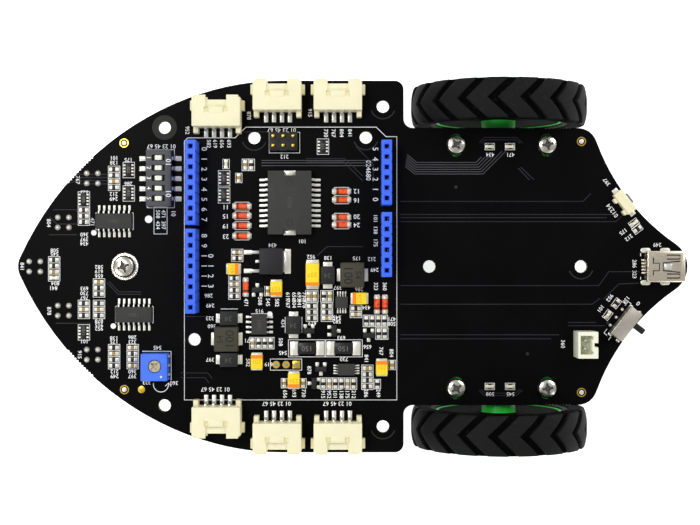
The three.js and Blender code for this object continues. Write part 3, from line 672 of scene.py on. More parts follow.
def strokes(paths: Sequence[Sequence[Point]], width: float, level: float, height: float = 0.04) -> bpy.types.Object:
    """Lines of an even width that lie flat on a surface.

    Args:
        paths: Each line's points; a line whose last point is its first is closed.
        width: Width of the lines in millimetres.
        level: Height of the surface.
        height: How far the lines stand over it.

    Returns:
        All the lines in one mesh.
    """
    curve = bpy.data.curves.new("strokes", "CURVE")
    curve.dimensions = "3D"
    curve.bevel_depth = width / 2 * MM
    curve.bevel_resolution = 1
    curve.use_fill_caps = True
    for path in paths:
        closed = path[0] == path[-1]
        points = path[:-1] if closed else path
        spline = curve.splines.new("POLY")
        spline.points.add(len(points) - 1)
        for spot, (x, y) in zip(spline.points, points):
            spot.co = (x * MM, y * MM, 0, 1)
        spline.use_cyclic_u = closed
    shape = bpy.data.objects.new("strokes", curve)
    bpy.context.collection.objects.link(shape)
    make_active(shape)
    bpy.ops.object.convert(target="MESH")
    shape = bpy.context.active_object
    flat = Matrix.Diagonal((1, 1, 2 * height / width, 1))
    shape.data.transform(Matrix.Translation((0, 0, level * MM)) @ flat)
    return shape


@dataclass(frozen=True)
class Label:
    """Printed digits: text, middle of the text, height of a digit and turn."""

    text: str
    x: float
    y: float
    size: float = 1.15
    turn: float = 0.0


def lettering(labels: Sequence[Label], level: float, height: float = 0.04) -> bpy.types.Object:
    """Printed digits that lie flat on a surface.

    Args:
        labels: The texts and their places.
        level: Height of the surface.
        height: How far the print stands over it.

    Returns:
        All the digits in one mesh.
    """
    made = []
    for label in labels:
        bpy.ops.object.text_add()
        shape = bpy.context.active_object
        shape.data.body = label.text
        shape.data.align_x = "CENTER"
        shape.data.align_y = "CENTER"
        shape.data.size = label.size / 0.7 * MM
        shape.data.extrude = height / 2 * MM
        shape.data.offset = label.size * 0.005 * MM
        shape.data.resolution_u = 2
        make_active(shape)
        bpy.ops.object.convert(target="MESH")
        made.append(moved(bpy.context.active_object, Place(label.x, label.y, level, label.turn)))
    return joined(made)


def rectangle(x: float, y: float, width: float, depth: float, turn: float = 0.0) -> list[Point]:
    """Closed outline of a rectangle.

    Args:
        x: Middle along X.
        y: Middle along Y.
        width: Size along X.
        depth: Size along Y.
        turn: Degrees about the middle.

    Returns:
        Five points, the last equal to the first.
    """
    cos, sin = math.cos(math.radians(turn)), math.sin(math.radians(turn))
    corners = [(-width / 2, -depth / 2), (width / 2, -depth / 2), (width / 2, depth / 2), (-width / 2, depth / 2)]
    spots = [(x + a * cos - b * sin, y + a * sin + b * cos) for a, b in corners]
    return [*spots, spots[0]]


def arc(x: float, y: float, radius: float, start: float, end: float, steps: int = 16) -> list[Point]:
    """Points along an arc.

    Args:
        x: Centre along X.
        y: Centre along Y.
        radius: Radius of the arc.
        start: First angle in degrees.
        end: Last angle in degrees.
        steps: Number of chords.

    Returns:
        The points in order.
    """
    angles = [math.radians(start + (end - start) * i / steps) for i in range(steps + 1)]
    return [(x + radius * math.cos(a), y + radius * math.sin(a)) for a in angles]


def circle(x: float, y: float, radius: float, steps: int = 20) -> list[Point]:
    """Closed circle whose last point is its first."""
    points = arc(x, y, radius, 0, 360, steps)
    return [*points[:-1], points[0]]


def span(node: str) -> tuple[Vector, Vector]:
    """Lowest and highest corners of a CAD node in millimetres."""
    low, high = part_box(node)
    return low / MM, high / MM


@dataclass
class Kit:
    """Gathers the shapes of one sub-assembly by finish and makes one piece of each finish."""

    name: str
    body: str = "root"
    shapes: dict[Finish, list[bpy.types.Object]] = field(default_factory=dict)

    def add(self, finish: Finish, *shapes: bpy.types.Object) -> None:
        """Adds shapes of one finish."""
        self.shapes.setdefault(finish, []).extend(shapes)

    def close(self, *replaced: str) -> None:
        """Joins the shapes, dresses the pieces and lets them ride.

        Args:
            replaced: CAD nodes that the first piece stands for.
        """
        for order, (finish, shapes) in enumerate(self.shapes.items()):
            piece = joined(shapes)
            piece.name = piece.data.name = f"{self.name}.{finish.name}"
            bpy.ops.object.shade_smooth_by_angle(angle=math.radians(32))
            piece.data.materials.clear()
            finish.dress(piece)
            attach(piece, self.body)
            if order == 0 and replaced:
                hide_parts(*replaced)
            log.info("%s: %d faces", piece.name, len(piece.data.polygons))


def dress_node(node: str, finish: Finish) -> None:
    """Gives a carried-over CAD node its finish."""
    finish.dress(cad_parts[node])
    log.info("%s dressed in %s", node, finish.name)


# ---- Studio ----


@dataclass
class Studio:
    """Camera over the deck, pale floor and soft lights."""

    camera_place: Corner = (0.69, -1.01, 359.4)
    lens: float = 67.4
    sensor_width: float = 36
    near_clip: float = 0.01
    floor_size: float = 3000.0
    floor_drop: float = 0.05
    floor_glow: float = 0.8
    sky_strength: float = 0.34

    def build(self) -> None:
        """Sets up the camera, the floor, the lights and the sky."""
        bpy.ops.object.camera_add(location=[v * MM for v in self.camera_place], rotation=(0, 0, math.pi))
        camera = bpy.context.active_object
        camera.data.lens = self.lens
        camera.data.sensor_width = self.sensor_width
        camera.data.clip_start = self.near_clip
        bpy.context.scene.camera = camera
        bpy.context.scene.view_settings.view_transform = "Standard"
        self.lay_floor()
        self.hang_lights()

    def lay_floor(self) -> None:
        """A pale plane under the wheels."""
        bpy.ops.mesh.primitive_plane_add(size=self.floor_size * MM, location=(0, 0, -self.floor_drop * MM))
        floor = bpy.context.active_object
        floor.name = "studio_floor"
        graph = Graph("studio_floor_paper")
        fibres = graph.noise(500, 2)
        graph.set(
            Base_Color=graph.blend(fibres, (0.93, 0.93, 0.93), (0.95, 0.95, 0.95)),
            Roughness=0.9 + 0.05 * fibres,
            Specular_IOR_Level=0.1,
            Emission_Color=(1.0, 1.0, 1.0),
            Emission_Strength=self.floor_glow,
        )
        floor.data.materials.append(graph.material)

    def hang_lights(self) -> None:
        """Soft boxes on four sides and an even sky."""
        for x, y, z, power, size in (
            (-500, -420, 620, 2.7, 420),
            (520, 380, 560, 1.9, 420),
            (-420, 520, 500, 1.2, 360),
            (480, -480, 500, 1.2, 360),
            (190, -105, 560, 0.7, 110),
        ):
            spot = Vector((x, y, z)) * MM
            bpy.ops.object.light_add(type="AREA", location=spot)
            light = bpy.context.active_object
            light.data.energy = power
            light.data.size = size * MM
            light.rotation_euler = (-spot).to_track_quat("-Z", "Y").to_euler()
        world = bpy.data.worlds.new("studio_sky")
        world.use_nodes = True
        sky = world.node_tree.nodes["Background"]
        sky.inputs["Color"].default_value = (1, 1, 1, 1)
        sky.inputs["Strength"].default_value = self.sky_strength
        bpy.context.scene.world = world


# ---- Deck ----


@dataclass
class Deck:
    """The circuit board: lacquer, plated rings, pads and raised tracks."""

    level: float
    underside: float
    ring_places: tuple[Point, ...] = ((57.6, -31.1), (57.5, 31.0), (-57.6, -31.5), (-57.6, 31.7))
    dot_places: tuple[Point, ...] = ((53.2, 31.0),)
    bare_rings: tuple[Point, ...] = ((47.4, -35.0),)
    jumper_pads: tuple[Point, ...] = ((19.3, 24.7), (16.8, 24.7), (14.2, 24.7))
    six_pins: tuple[Point, ...] = tuple((x, y) for x in (19.92, 17.42, 14.92) for y in (-32.65, -30.25))

    def pads(self) -> None:
        """Gold rings, bare rings round holes and plated pads."""
        kit = Kit("deck_pads")
        ring = turned([(0.88, -0.02), (1.17, -0.02), (1.14, 0.05), (0.92, 0.05)], 28, ring=True)
        kit.add(GOLD, copied(ring, [Place(x, y, self.level) for x, y in self.ring_places]))
        disc = turned([(0.6, -0.02), (0.6, 0.03), (0.5, 0.06), (0.1, 0.07)], 24)
        kit.add(SOLDER, copied(disc, [Place(x, y, self.level) for x, y in self.ring_places]))
        dot = turned([(0.9, -0.02), (0.9, 0.03), (0.8, 0.05), (0.1, 0.06)], 24)
        kit.add(GOLD, copied(dot, [Place(x, y, self.level) for x, y in self.dot_places]))
        halos = [
            arc(x, y, 3.1, 20, 160) for x, y in ((24.8, -32.4), (-3.3, -32.5), (-7.6, 40.3), (-7.6, -40.3), (-57.5, 0))
        ]
        kit.add(RECESS, strokes(halos, 0.3, self.level, 0.02))
        pad = turned([(0.42, -0.02), (0.95, -0.02), (0.92, 0.06), (0.46, 0.06)], 24, ring=True)
        kit.add(GOLD, copied(pad, [Place(x, y, self.level) for x, y in self.jumper_pads[:2]]))
        square = carved(block((-0.95, -0.95, -0.02), (0.95, 0.95, 0.06), 0.04), turned([(0.42, -1), (0.42, 1)], 16))
        kit.add(GOLD, moved(square, Place(*self.jumper_pads[2], self.level)))
        plug = turned([(0.44, -0.3), (0.44, -0.06), (0.3, -0.05)], 16)
        kit.add(STEEL, copied(plug, [Place(x, y, self.level + 0.06) for x, y in self.jumper_pads]))
        bare = turned([(1.62, -0.02), (3.15, -0.02), (3.1, 0.03), (1.7, 0.03)], 40, ring=True)
        kit.add(RECESS, copied(bare, [Place(x, y, self.level) for x, y in self.bare_rings]))
        kit.close()

    def six_pin_header(self) -> None:
        """Six pins in a notched base, with solder cones below."""
        kit = Kit("six_pin_header")
        places = [Place(x, y) for x, y in self.six_pins]
        x, y = self.six_pins[2][0], (self.six_pins[0][1] + self.six_pins[1][1]) / 2
        base = block((x - 3.55, y - 2.35, self.level), (x + 3.55, y + 2.35, self.level + 1.6), 0.12)
        nick = block((-0.25, -9, self.level - 1), (0.25, 9, self.level + 4))
        kit.add(
            BLACK, carved(base, copied(nick, [Place(x + s * 1.25, y + t * 11.2) for s in (-1, 1) for t in (-1, 1)]))
        )
        pin = block((-0.34, -0.34, self.underside - 1.2), (0.34, 0.34, self.level + 3.2), 0.12)
        kit.add(GOLD, copied(pin, places))
        cone = turned([(0.3, -0.82), (0.38, -0.8), (0.5, -0.45), (0.85, -0.12), (0.95, 0.01)], 20)
        kit.add(SOLDER, copied(cone, [Place(x, y, self.underside) for x, y in self.six_pins]))
        kit.close()

    def tracks(self) -> None:
        """Copper tracks that stand up faintly under the lacquer."""
        runs: list[list[Point]] = [
            [(-12, 9.5), (-60.3, 9.5), (-62.3, 8.0)],
            [(-54.2, 14.1), (-61.3, 14.1)],
            [(-54.2, 14.9), (-63.5, 14.9)],
            [(-12, 4.8), (-62.0, 4.8), (-64.5, 1.3), (-72.2, 1.3)],
            [(-67, 4.4), (-72.0, 4.2)],
            [(-67, 4.4), (-63.2, 8.2)],
            [(-12, -13.1), (-66.3, -13.1)],
            [(-12, -12.3), (-64, -12.3)],
            [(-12, -11.3), (-66.3, -11.3), (-68, -13)],
            [(-12, -16.4), (-58, -16.4), (-60, -18.4)],
            [(-12, 17.2), (-52, 17.2)],
            [(-12, 18.2), (-50, 18.2)],
            [(-32.4, -31.0), (-33.3, -31.9), (-41.0, -31.9), (-42.2, -31.0)],
            [(-31.9, -31.2), (-33.1, -32.5), (-41.2, -32.5), (-42.8, -31.1)],
            [(-32.4, 31.0), (-33.3, 31.9), (-41.0, 31.9), (-42.2, 31.0)],
            [(-31.9, 31.2), (-33.1, 32.5), (-41.2, 32.5), (-42.8, 31.1)],
            [(43.3, 26.8), (36.5, 26.8), (35.4, 28.2)],
            [(43.3, 28.0), (37.2, 28.0), (36.2, 29.3)],
            [(42, 12.6), (36.8, 12.6)],
            [(71.4, -27.2 + 6), (66, -21.8)],
            [(76.5, -8.0), (69.5, -8.0)],
            [(75.5, -14.3), (69.0, -14.3)],
            [(76.4, -12.5), (74.5, -10.7), (69.5, -10.7)],
            [(61.3, 3.8), (58.9, 6.4), (53.3, 6.4)],
            [(61.9, 4.0), (59.1, 7.0), (53.3, 7.0)],
            [(74.8, 14.3), (66, 14.3)],
            [(19, -33.9), (40, -33.9)],
            [(11.8, -27.2), (2.0, -27.2), (-2.5, -22.8)],
            [(11.8, -26.4), (2.4, -26.4), (-2.5, -21.6)],
            [(-0.8, -30.2), (-5.2, -25.8), (-5.2, -22)],
            [(9, -2.6), (6.5, -5), (-2.5, -5)],
            [(-41.7, -24.7), (-44.5, -21.8)],
            [(-42.3, -25.0), (-45.6, -21.9)],
        ]
        bright: list[list[Point]] = [[(23, y), (-5, y)] for y in (-26.7, -26.1, -25.4)]
        for i in range(6):
            knee, rise = (-32.8 + 0.35 * i, -23.3 - 0.58 * i), -29.0 if i < 2 else -27.6
            bright.append(
                [(knee[0] + rise - knee[1], rise), knee, (-15.6 - 0.1 * i, knee[1]), (-13.2 - 0.1 * i, knee[1] - 2.0)]
            )
        for i in range(4):
            runs.append([(69.5, -23.2 + 0.8 * i), (61.9, -23.2 + 0.8 * i)])
        kit = Kit("raised_tracks")
        kit.add(TRACK, strokes(runs, 0.2, self.level, 0.02))
        kit.add(BRIGHT_TRACK, strokes(bright, 0.2, self.level, 0.02))
        vias = [Place(x, y, self.level) for x, y in ((-64.2, 14.1), (2.3, 30.9), (-26, -20), (-44, 22))]
        kit.add(TRACK, copied(turned([(0.4, -0.01), (0.36, 0.04), (0.15, 0.05)], 16), vias))
        kit.close()

    def build(self) -> None:
        """Dresses the board and adds its pads, pins and tracks."""
        dress_node("main_board", MASK)
        self.pads()
        self.six_pin_header()
        self.tracks()


# ---- Connectors ----


@dataclass
class HeaderRow:
    """One row of pin openings: funnelled openings, side grooves, spring contacts and tails."""

    node: str
    pins: int
    underside: float
    extra: float = 0.55
    opening: float = 1.0
    tail: float = 1.5

    def build(self) -> None:
        """Makes the row in place of its CAD node."""
        low, high = span(self.node)
        pitch = (high.y - low.y) / self.pins
        x = (low.x + high.x) / 2
        rows = [low.y + self.extra / 2 + pitch * (i + 0.5) for i in range(self.pins)]
        half = self.opening / 2
        hole = copied(block((-half, -half, -6), (half, half, 1)), [Place(x, y, high.z) for y in rows])
        bpy.ops.mesh.primitive_cone_add(vertices=4, radius1=half * 1.3 * MM, radius2=half * 2.3 * MM, depth=0.5 * MM)
        mouth = leaned(bpy.context.active_object, 45, "Z")
        mouths = copied(mouth, [Place(x, y, high.z - 0.05) for y in rows])
        nick = block((-0.16, -0.16, low.z - 1), (0.16, 0.16, high.z + 1))
        edges = [Place(side, y + pitch / 2, 0, 45) for y in rows[:-1] for side in (low.x, high.x)]
        kit = Kit(self.node)
        body = block(tuple(low), (high.x, high.y + self.extra, high.z), 0.1)
        kit.add(HEADER_BLUE, carved(body, hole, mouths, copied(nick, edges)))
        leaf = block((0.28, -0.28, high.z - 5.8), (0.42, 0.28, high.z - 2.6), 0.04)
        twin = [Place(x, y, 0, turn) for y in rows for turn in (0, 180)]
        kit.add(CONTACT, copied(leaf, twin))
        bottom = self.underside
        pin = block((-0.25, -0.25, bottom - self.tail), (0.25, 0.25, bottom + 0.3), 0.08)
        kit.add(TERMINAL, copied(pin, [Place(x, y) for y in rows]))
        cone = turned([(0.32, -1.0), (0.42, -0.6), (0.8, -0.12), (0.92, 0.0)], 18)
        kit.add(SOLDER, copied(cone, [Place(x, y, bottom) for y in rows]))
        kit.close(self.node)


@dataclass
class SideSocket:
    """Four-pin side-entry sockets: ramped latch panel, notch, posts, leads and pads."""

    names: tuple[str, ...]
    level: float
    pitch: float = 2.0
    wall: float = 0.8
    notch: float = 5.2
    lead_reach: float = 2.5
    overhang: float = 0.4

    def housing(self, width: float, depth: float, height: float) -> bpy.types.Object:
        """The moulded housing with its mouth at y = 0.

        Args:
            width: Size along the deck's edge.
            depth: Size from mouth to back.
            height: Size upwards.

        Returns:
            The shape.
        """
        half, wall, notch = width / 2, self.wall, self.notch / 2
        body = block((-half, -depth, 0), (half, 0, height), 0.18)
        cavity = block((wall - half, 1.2 - depth, wall), (half - wall, 1, height - wall), 0.12)
        top_notch = block((-notch, -1.2, height - 1.6), (notch, 1, height + 1), 0.1)
        floor_notch = block((-notch, -1.2, -1), (notch, 1, 1.6))
        band = block((-notch, -2.95, height - 0.62), (notch, 1, height + 1), 0.04)
        corners = copied(block((-0.55, -0.6, -1), (0.55, 1, height + 1)), [Place(s * half) for s in (-1, 1)])
        ramp = block((-notch - 0.35, -7.1, height - 0.02), (notch + 0.35, -4.0, height + 1))
        ramp = moved(leaned(moved(ramp, Place(z=-height)), -5.5, "X"), Place(y=0.1, z=height - 0.52))
        step = block((-notch - 0.35, -4.25, height - 0.55), (notch + 0.35, -3.0, height + 1), 0.05)
        backs = [Place(self.pitch * (i - 1.5), -depth, 0) for i in range(4)]
        gaps = copied(block((-0.62, -1, height - 2.6), (0.62, 0.62, height - 0.5)), [*backs, Place(-4.4, -depth)])
        cut = carved(body, cavity, top_notch, floor_notch, band, corners, ramp, step, gaps)
        ears = [block((-1.8, -4.55, height - 0.7), (1.8, -2.95, height - 0.02), 0.08)]
        for side in (-1, 1):
            low, high = sorted((side * (half - 0.1), side * (half + 0.8)))
            ears.append(block((low, -3.5, 0), (high, -1, 2.2), 0.12))
            low, high = sorted((side * (half - 1.35), side * (half - 0.05)))
            ears.append(block((low, -depth - 1.5, 0), (high, -depth + 0.5, 3.0), 0.12, 0.94))
        return joined([cut, *ears])

    def build(self) -> None:
        """Makes each socket in place of its CAD node."""
        for name in self.names:
            low, high = span(name)
            left = high.y > 0
            middle = (low.x + high.x) / 2
            outer = high.y if left else low.y
            forward = 0.0 if "front" in name else math.copysign(self.overhang, outer)
            place = Place(middle, outer + forward, low.z, 0 if left else 180)
            width = high.x - low.x - 1.6
            kit = Kit(name)
            depth = 7.75
            kit.add(CREAM, moved(self.housing(width, depth, high.z - low.z), place))
            spots = [self.pitch * (i - 1.5) for i in range(4)]
            post = block((-0.25, -depth + 1.0, -0.25), (0.25, -1.9, 0.25), 0.08)
            posts = copied(post, [Place(x, 0, 3.0) for x in spots])
            kit.add(TERMINAL, moved(posts, place))
            side = [
                (0.7, 2.0),
                (0.7, 1.75),
                (-0.35, 1.75),
                (-0.95, 0.32),
                (-2.3, 0.26),
                (-2.3, 0.04),
                (-0.5, 0.04),
                (-0.1, 1.4),
            ]
            lead = leaned(leaned(plate([(y, z) for y, z in side], -0.3, 0.3, 0.03), 90, "X"), 90, "Z")
            kit.add(TERMINAL, moved(copied(lead, [Place(x, -depth) for x in spots]), place))
            reach = -depth - self.lead_reach
            pads = [block((x - 0.52, reach, -0.05), (x + 0.52, -depth - 0.1, 0.14), 0.05) for x in spots]
            kit.add(SOLDER, moved(joined(pads), place))
            kit.close(name)


@dataclass
class UsbSocket:
    """Mini socket at the tail: folded shell with slots and springs, tongue, tabs and pins."""

    node: str
    level: float
    sheet: float = 0.35
    overhang: float = 0.35

    def slots(self, high: Vector) -> list[bpy.types.Object]:
        """Narrow cuts in the top of the shell that leave its springs and latch.

        Args:
            high: Highest corner of the shell.

        Returns:
            The cutters, to be used one after another.
        """
        inner, top = high.x, high.z
        latch = [(-1.55, -2.2), (-1.55, -0.85), (-3.05, -0.85), (-3.05, 1.05), (-1.55, 1.05), (-1.55, 2.2)]
        flap = [(-8.3, -1.35), (-4.0, -0.95), (-4.0, 1.05), (-8.3, 1.45)]
        paths = [latch, flap]
        for side in (-1, 1):
            paths.append([(-4.9, side * 1.85), (-7.9, side * 1.85), (-8.25, side * 2.1)])
            paths.append([(-4.9, side * 2.85), (-7.9, side * 2.85), (-8.25, side * 2.6)])
        cuts = [strokes([[(inner + x, y) for x, y in path]], 0.36, top - 0.2, 0.6) for path in paths]
        return [*cuts, block((inner - 6.3, -0.8, top - 1), (inner - 4.2, 0.95, top + 1))]

    def build(self) -> None:
        """Makes the socket in place of its CAD node."""
        low, high = span(self.node)
        high.x += self.overhang
        half, middle = high.y, (low.z + high.z) / 2
        kit = Kit(self.node)
        outline = [
            (-half + 1, low.z), (half - 1, low.z), (half, middle), (half, high.z), (-half, high.z), (-half, middle)
        ]
        shell = leaned(plate([(-y, z) for y, z in outline], low.x, high.x), 90, "X")
        shell = softened(leaned(shell, 90, "Z"), 0.3, 3)
        sheet = self.sheet
        core = [(y * (1 - sheet / half), middle + (z - middle) * (1 - sheet / (high.z - middle))) for y, z in outline]
        bore = leaned(leaned(plate([(-y, z) for y, z in core], low.x - 1, high.x - 1.2), 90, "X"), 90, "Z")
        shell = carved(shell, bore, *self.slots(high))
        lip = block((low.x, -half + 0.5, high.z - 0.32), (low.x + 0.35, half - 0.5, high.z + 0.03), 0.14)
        kit.add(NICKEL, shell, lip)
        spring = block((-2.0, -0.7, -0.2), (0.2, 0.85, -0.05), 0.04)
        kit.add(TERMINAL, moved(leaned(spring, 8, "Y"), Place(high.x - 4.3, 0, high.z - 0.3)))
        tongue = block((low.x + 1.6, -2.2, middle - 0.5), (high.x - 1.3, 2.2, middle + 0.35), 0.1)
        # The shade block is a black plate under the shell's top: painted shade seen through the slots and the opening.
        shade = block((high.x - 8.9, -3.3, high.z - 1.0), (high.x - 0.6, 3.3, high.z - 0.66), 0.1)
        kit.add(BLACK, tongue, shade)
        finger = block((low.x + 1.9, -0.2, middle + 0.3), (high.x - 1.6, 0.2, middle + 0.5), 0.04)
        kit.add(GOLD, copied(finger, [Place(0, 0.8 * (i - 2)) for i in range(5)]))
        tab = softened(plate(arc(0.65, 0, 0.62, -90, 90, 8) + arc(-0.65, 0, 0.62, 90, 270, 8), -0.04, 0.35), 0.12)
        places = [Place(x, side * 4.05, self.level) for x in (high.x - 0.45, high.x - 5.35) for side in (-1, 1)]
        kit.add(SOLDER, copied(tab, places))
        pin = block((-0.2, -0.22, 0), (0.55, 0.22, 0.3), 0.06)
        kit.add(SOLDER, copied(pin, [Place(high.x, 0.8 * (i - 2), self.level) for i in range(5)]))
        kit.close(self.node)


@dataclass
class BatterySocket:
    """Upright two-pin socket: keyed wall, notch, corner slots and posts."""

    node: str
    spare: float = 0.7

    def build(self) -> None:
        """Makes the socket in place of its CAD node."""
        low, high = span(self.node)
        x, y = (low.x + high.x) / 2, (low.y + high.y) / 2
        body = block(tuple(low), (high.x - self.spare, high.y, high.z), 0.15)
        cavity = block((low.x + 1.5, y - 2.35, high.z - 5.2), (low.x + 4.4, y + 2.35, high.z + 1), 0.15)
        notch = block((low.x - 1, y - 0.53, high.z - 5.2), (low.x + 1.0, y + 0.53, high.z + 1), 0.05)
        slot = block((-0.15, -0.37, high.z - 4.5), (0.3, 0.37, high.z + 1), 0.03)
        slots = copied(slot, [Place(low.x + 1.3, y - 1.86), Place(low.x + 1.3, y + 1.86)])
        kit = Kit(self.node)
        kit.add(WHITE, carved(body, cavity, notch, slots))
        post = block((-0.25, -0.25, low.z + 1.0), (0.25, 0.25, high.z - 2.2), 0.1)
        kit.add(TERMINAL, copied(post, [Place(x, y - 1.0), Place(x, y + 1.0)]))
        kit.close(self.node)


# ---- Controls ----


@dataclass
class DipSwitch:
    """Five-way switch: body with numerals, gull-wing leads and five sliding knobs."""

    node: str
    level: float
    ways: int = 5
    pitch: float = 2.54

    def build(self) -> None:
        """Makes the body and its knobs in place of their CAD nodes."""
        low, high = span(self.node)
        x, y = (low.x + high.x) / 2, (low.y + high.y) / 2
        rows = [y + self.pitch * (i - (self.ways - 1) / 2) for i in range(self.ways)]
        kit = Kit(self.node)
        slot = block((-1.65, -0.75, high.z - 1.4), (1.65, 0.75, high.z + 1), 0.06)
        body = block(tuple(low), tuple(high), 0.14)
        groove = [block((low.x - 1, low.y - 1, high.z - 1.55), (low.x + 0.12, high.y + 1, high.z - 1.4))]
        groove.append(block((high.x - 0.12, low.y - 1, high.z - 1.55), (high.x + 1, high.y + 1, high.z - 1.4)))
        kit.add(GREY_PLASTIC_AND_SHADE, carved(body, copied(slot, [Place(x, row) for row in rows]), *groove))
        labels = [Label(str(i + 1), x + 2.42, row, 1.05, 90) for i, row in enumerate(rows)]
        labels += [Label("01", x - 2.45, rows[0] + 1.2, 1.3, 90), Label("10", x - 2.45, rows[-1] - 1.2, 1.3, 90)]
        kit.add(INK, lettering(labels, high.z, 0.03))
        side = [
            (-0.4, 1.3),
            (-0.4, 1.1),
            (0.25, 1.1),
            (0.75, 0.2),
            (1.9, 0.2),
            (1.9, 0.02),
            (0.6, 0.02),
            (0.1, 0.9),
            (0.1, 1.3),
        ]
        lead = leaned(plate([(u, v) for u, v in side], -0.45, 0.45, 0.03), 90, "X")
        sides = ((high.x, 0), (low.x, 180))
        kit.add(TERMINAL, copied(lead, [Place(px, row, self.level, turn) for row in rows for px, turn in sides]))
        pads = [Place(px, row, self.level) for row in rows for px in (high.x + 1.15, low.x - 1.35)]
        kit.add(SOLDER, copied(block((-0.95, -0.6, -0.02), (0.95, 0.6, 0.1), 0.05), pads))
        kit.close(self.node)
        for i in range(self.ways):
            name = f"dip_slider_{i + 1}"
            corner_low, corner_high = span(name)
            knob = block(tuple(corner_low), tuple(corner_high), 0.12, 0.9)
            middle = (corner_low + corner_high) / 2
            grip = block(
                (middle.x - 0.14, corner_low.y - 1, corner_high.z - 0.1),
                (middle.x + 0.14, corner_high.y + 1, corner_high.z + 1),
            )
            slider = Kit(name, name)
            slider.add(WHITE, carved(knob, grip))
            slider.close(name)


@dataclass
class Trimmer:
    """Trimming resistor: body with side notches and pit, and a cross-slotted rotor."""

    body_node: str = "trimmer_body"
    rotor_node: str = "trimmer_rotor"

    def build(self) -> None:
        """Makes the body and the rotor in place of their CAD nodes."""
        low, high = span(self.body_node)
        rotor_low, rotor_high = span(self.rotor_node)
        x, y = (rotor_low.x + rotor_high.x) / 2, (rotor_low.y + rotor_high.y) / 2
        radius = (rotor_high.x - rotor_low.x) / 2
        kit = Kit(self.body_node)
        low += Vector((0.4, 0.55, 0))
        body = block(tuple(low), tuple(high), 0.16)
        depth = rotor_high.z - rotor_low.z
        pocket = moved(
            turned([(radius + 0.12, -depth), (radius + 0.12, -0.2), (radius + 0.45, 0.3)], 36), Place(x, y, high.z)
        )
        pit = moved(turned([(0.1, -0.3), (0.32, -0.15), (0.42, 0.3)], 18), Place(x - 1.6, y + 2.6, high.z))
        notches = copied(
            block((-0.35, -0.55, -1), (0.35, 0.55, high.z - low.z - 1.2)),
            [Place(low.x, y + 2.3 * i, low.z) for i in (-1, 0, 1)],
        )
        kit.add(TRIMMER_BLUE, carved(body, pocket, pit, notches))
        kit.add(TERMINAL, copied(block((-0.25, -0.35, -0.02), (0.25, 0.35, 1.4), 0.08), [Place(low.x + 0.1, y + 2.3 * i, low.z) for i in (-1, 0, 1)]))
        kit.add(WHITE, moved(turned([(0.3, -0.25), (0.28, -0.06), (0.15, 0.0)], 16), Place(x - 1.6, y + 2.6, high.z)))
        kit.close(self.body_node)
        profile = [(radius, -depth), (radius, -0.12), (radius - 0.12, 0.0), (radius * 0.55, 0.0), (radius * 0.4, -0.14)]
        cap = moved(turned(profile, 36), Place(x, y, rotor_high.z))
        arms = [
            leaned(block((-radius * 0.8, -0.24, -0.8), (radius * 0.8, 0.24, 1), 0.05), turn, "Z") for turn in (45, 135)
        ]
        rotor = Kit(self.rotor_node, "trimmer_rotor")
        rotor.add(ROTOR_PLATE, carved(cap, *[moved(arm, Place(x, y, rotor_high.z)) for arm in arms]))
        rotor.close(self.rotor_node)


@dataclass
class PowerSwitch:
    """Slide switch on the tail's edge: folded steel case, pins, corner feet and lever."""

    body_node: str = "power_switch_body"
    lever_node: str = "power_switch_lever"
    place: Place = Place(-68.3, 14.3, 29.4, 142.5)
    size: Corner = (3.6, 8.5, 3.5)
    lever: Corner = (1.5, 3.1, 1.05)
    travel: float = 2.1
    play: float = 0.12
    slot_depth: float = 1.55
    lever_depth: float = 1.3

    def build(self) -> None:
        """Makes the case and the lever in place of their CAD nodes."""
        width, length, height = self.size
        kit = Kit(self.body_node)
        case = block((-width / 2, -length / 2, 0.35), (width / 2, length / 2, height), 0.16)
        slot_half = (self.lever[0] + self.travel) / 2 + self.play
        slot = block((width / 2 - self.slot_depth, -slot_half, 0.8), (width / 2 + 1, slot_half, height - 0.5), 0.05)
        seam = block((-width / 2 + 0.3, -length, height - 0.06), (-width / 2 + 0.4, length, height + 1))
        kit.add(SWITCH_CASE, moved(carved(case, slot, seam), self.place))
        base = block((-width / 2 - 0.1, -length / 2 + 0.3, 0), (width / 2 + 0.05, length / 2 - 0.3, 0.6), 0.1)
        kit.add(BLACK, moved(base, self.place))
        feet = [
            Place(x, y) for x in (-width / 2 + 0.5, width / 2 - 0.55) for y in (-length / 2 - 0.15, length / 2 + 0.15)
        ]
        foot = copied(block((-0.45, -0.35, -0.05), (0.45, 0.35, 0.9), 0.1), feet)
        kit.add(TERMINAL, moved(foot, self.place))
        dome = turned([(0.42, -0.03), (0.4, 0.12), (0.25, 0.3), (0.08, 0.35)], 18)
        kit.add(SOLDER, moved(copied(dome, [Place(-width / 2 - 0.65, 2.5 * i) for i in (-1, 0, 1)]), self.place))
        kit.close(self.body_node)
        lever_width, reach, rest = self.lever
        root = width / 2 - self.lever_depth
        knob = block((root, rest - lever_width / 2, 1.1), (width / 2 + reach, rest + lever_width / 2, 2.5), 0.16)
        ribs = copied(
            block((-0.07, -2, 2.42), (0.07, 2, 4)), [Place(width / 2 + 1.2 + 0.45 * i, rest) for i in range(4)]
        )
        sliding = Kit(self.lever_node, "power_switch_lever")
        sliding.add(BLACK, moved(carved(knob, ribs), self.place))
        sliding.close(self.lever_node)


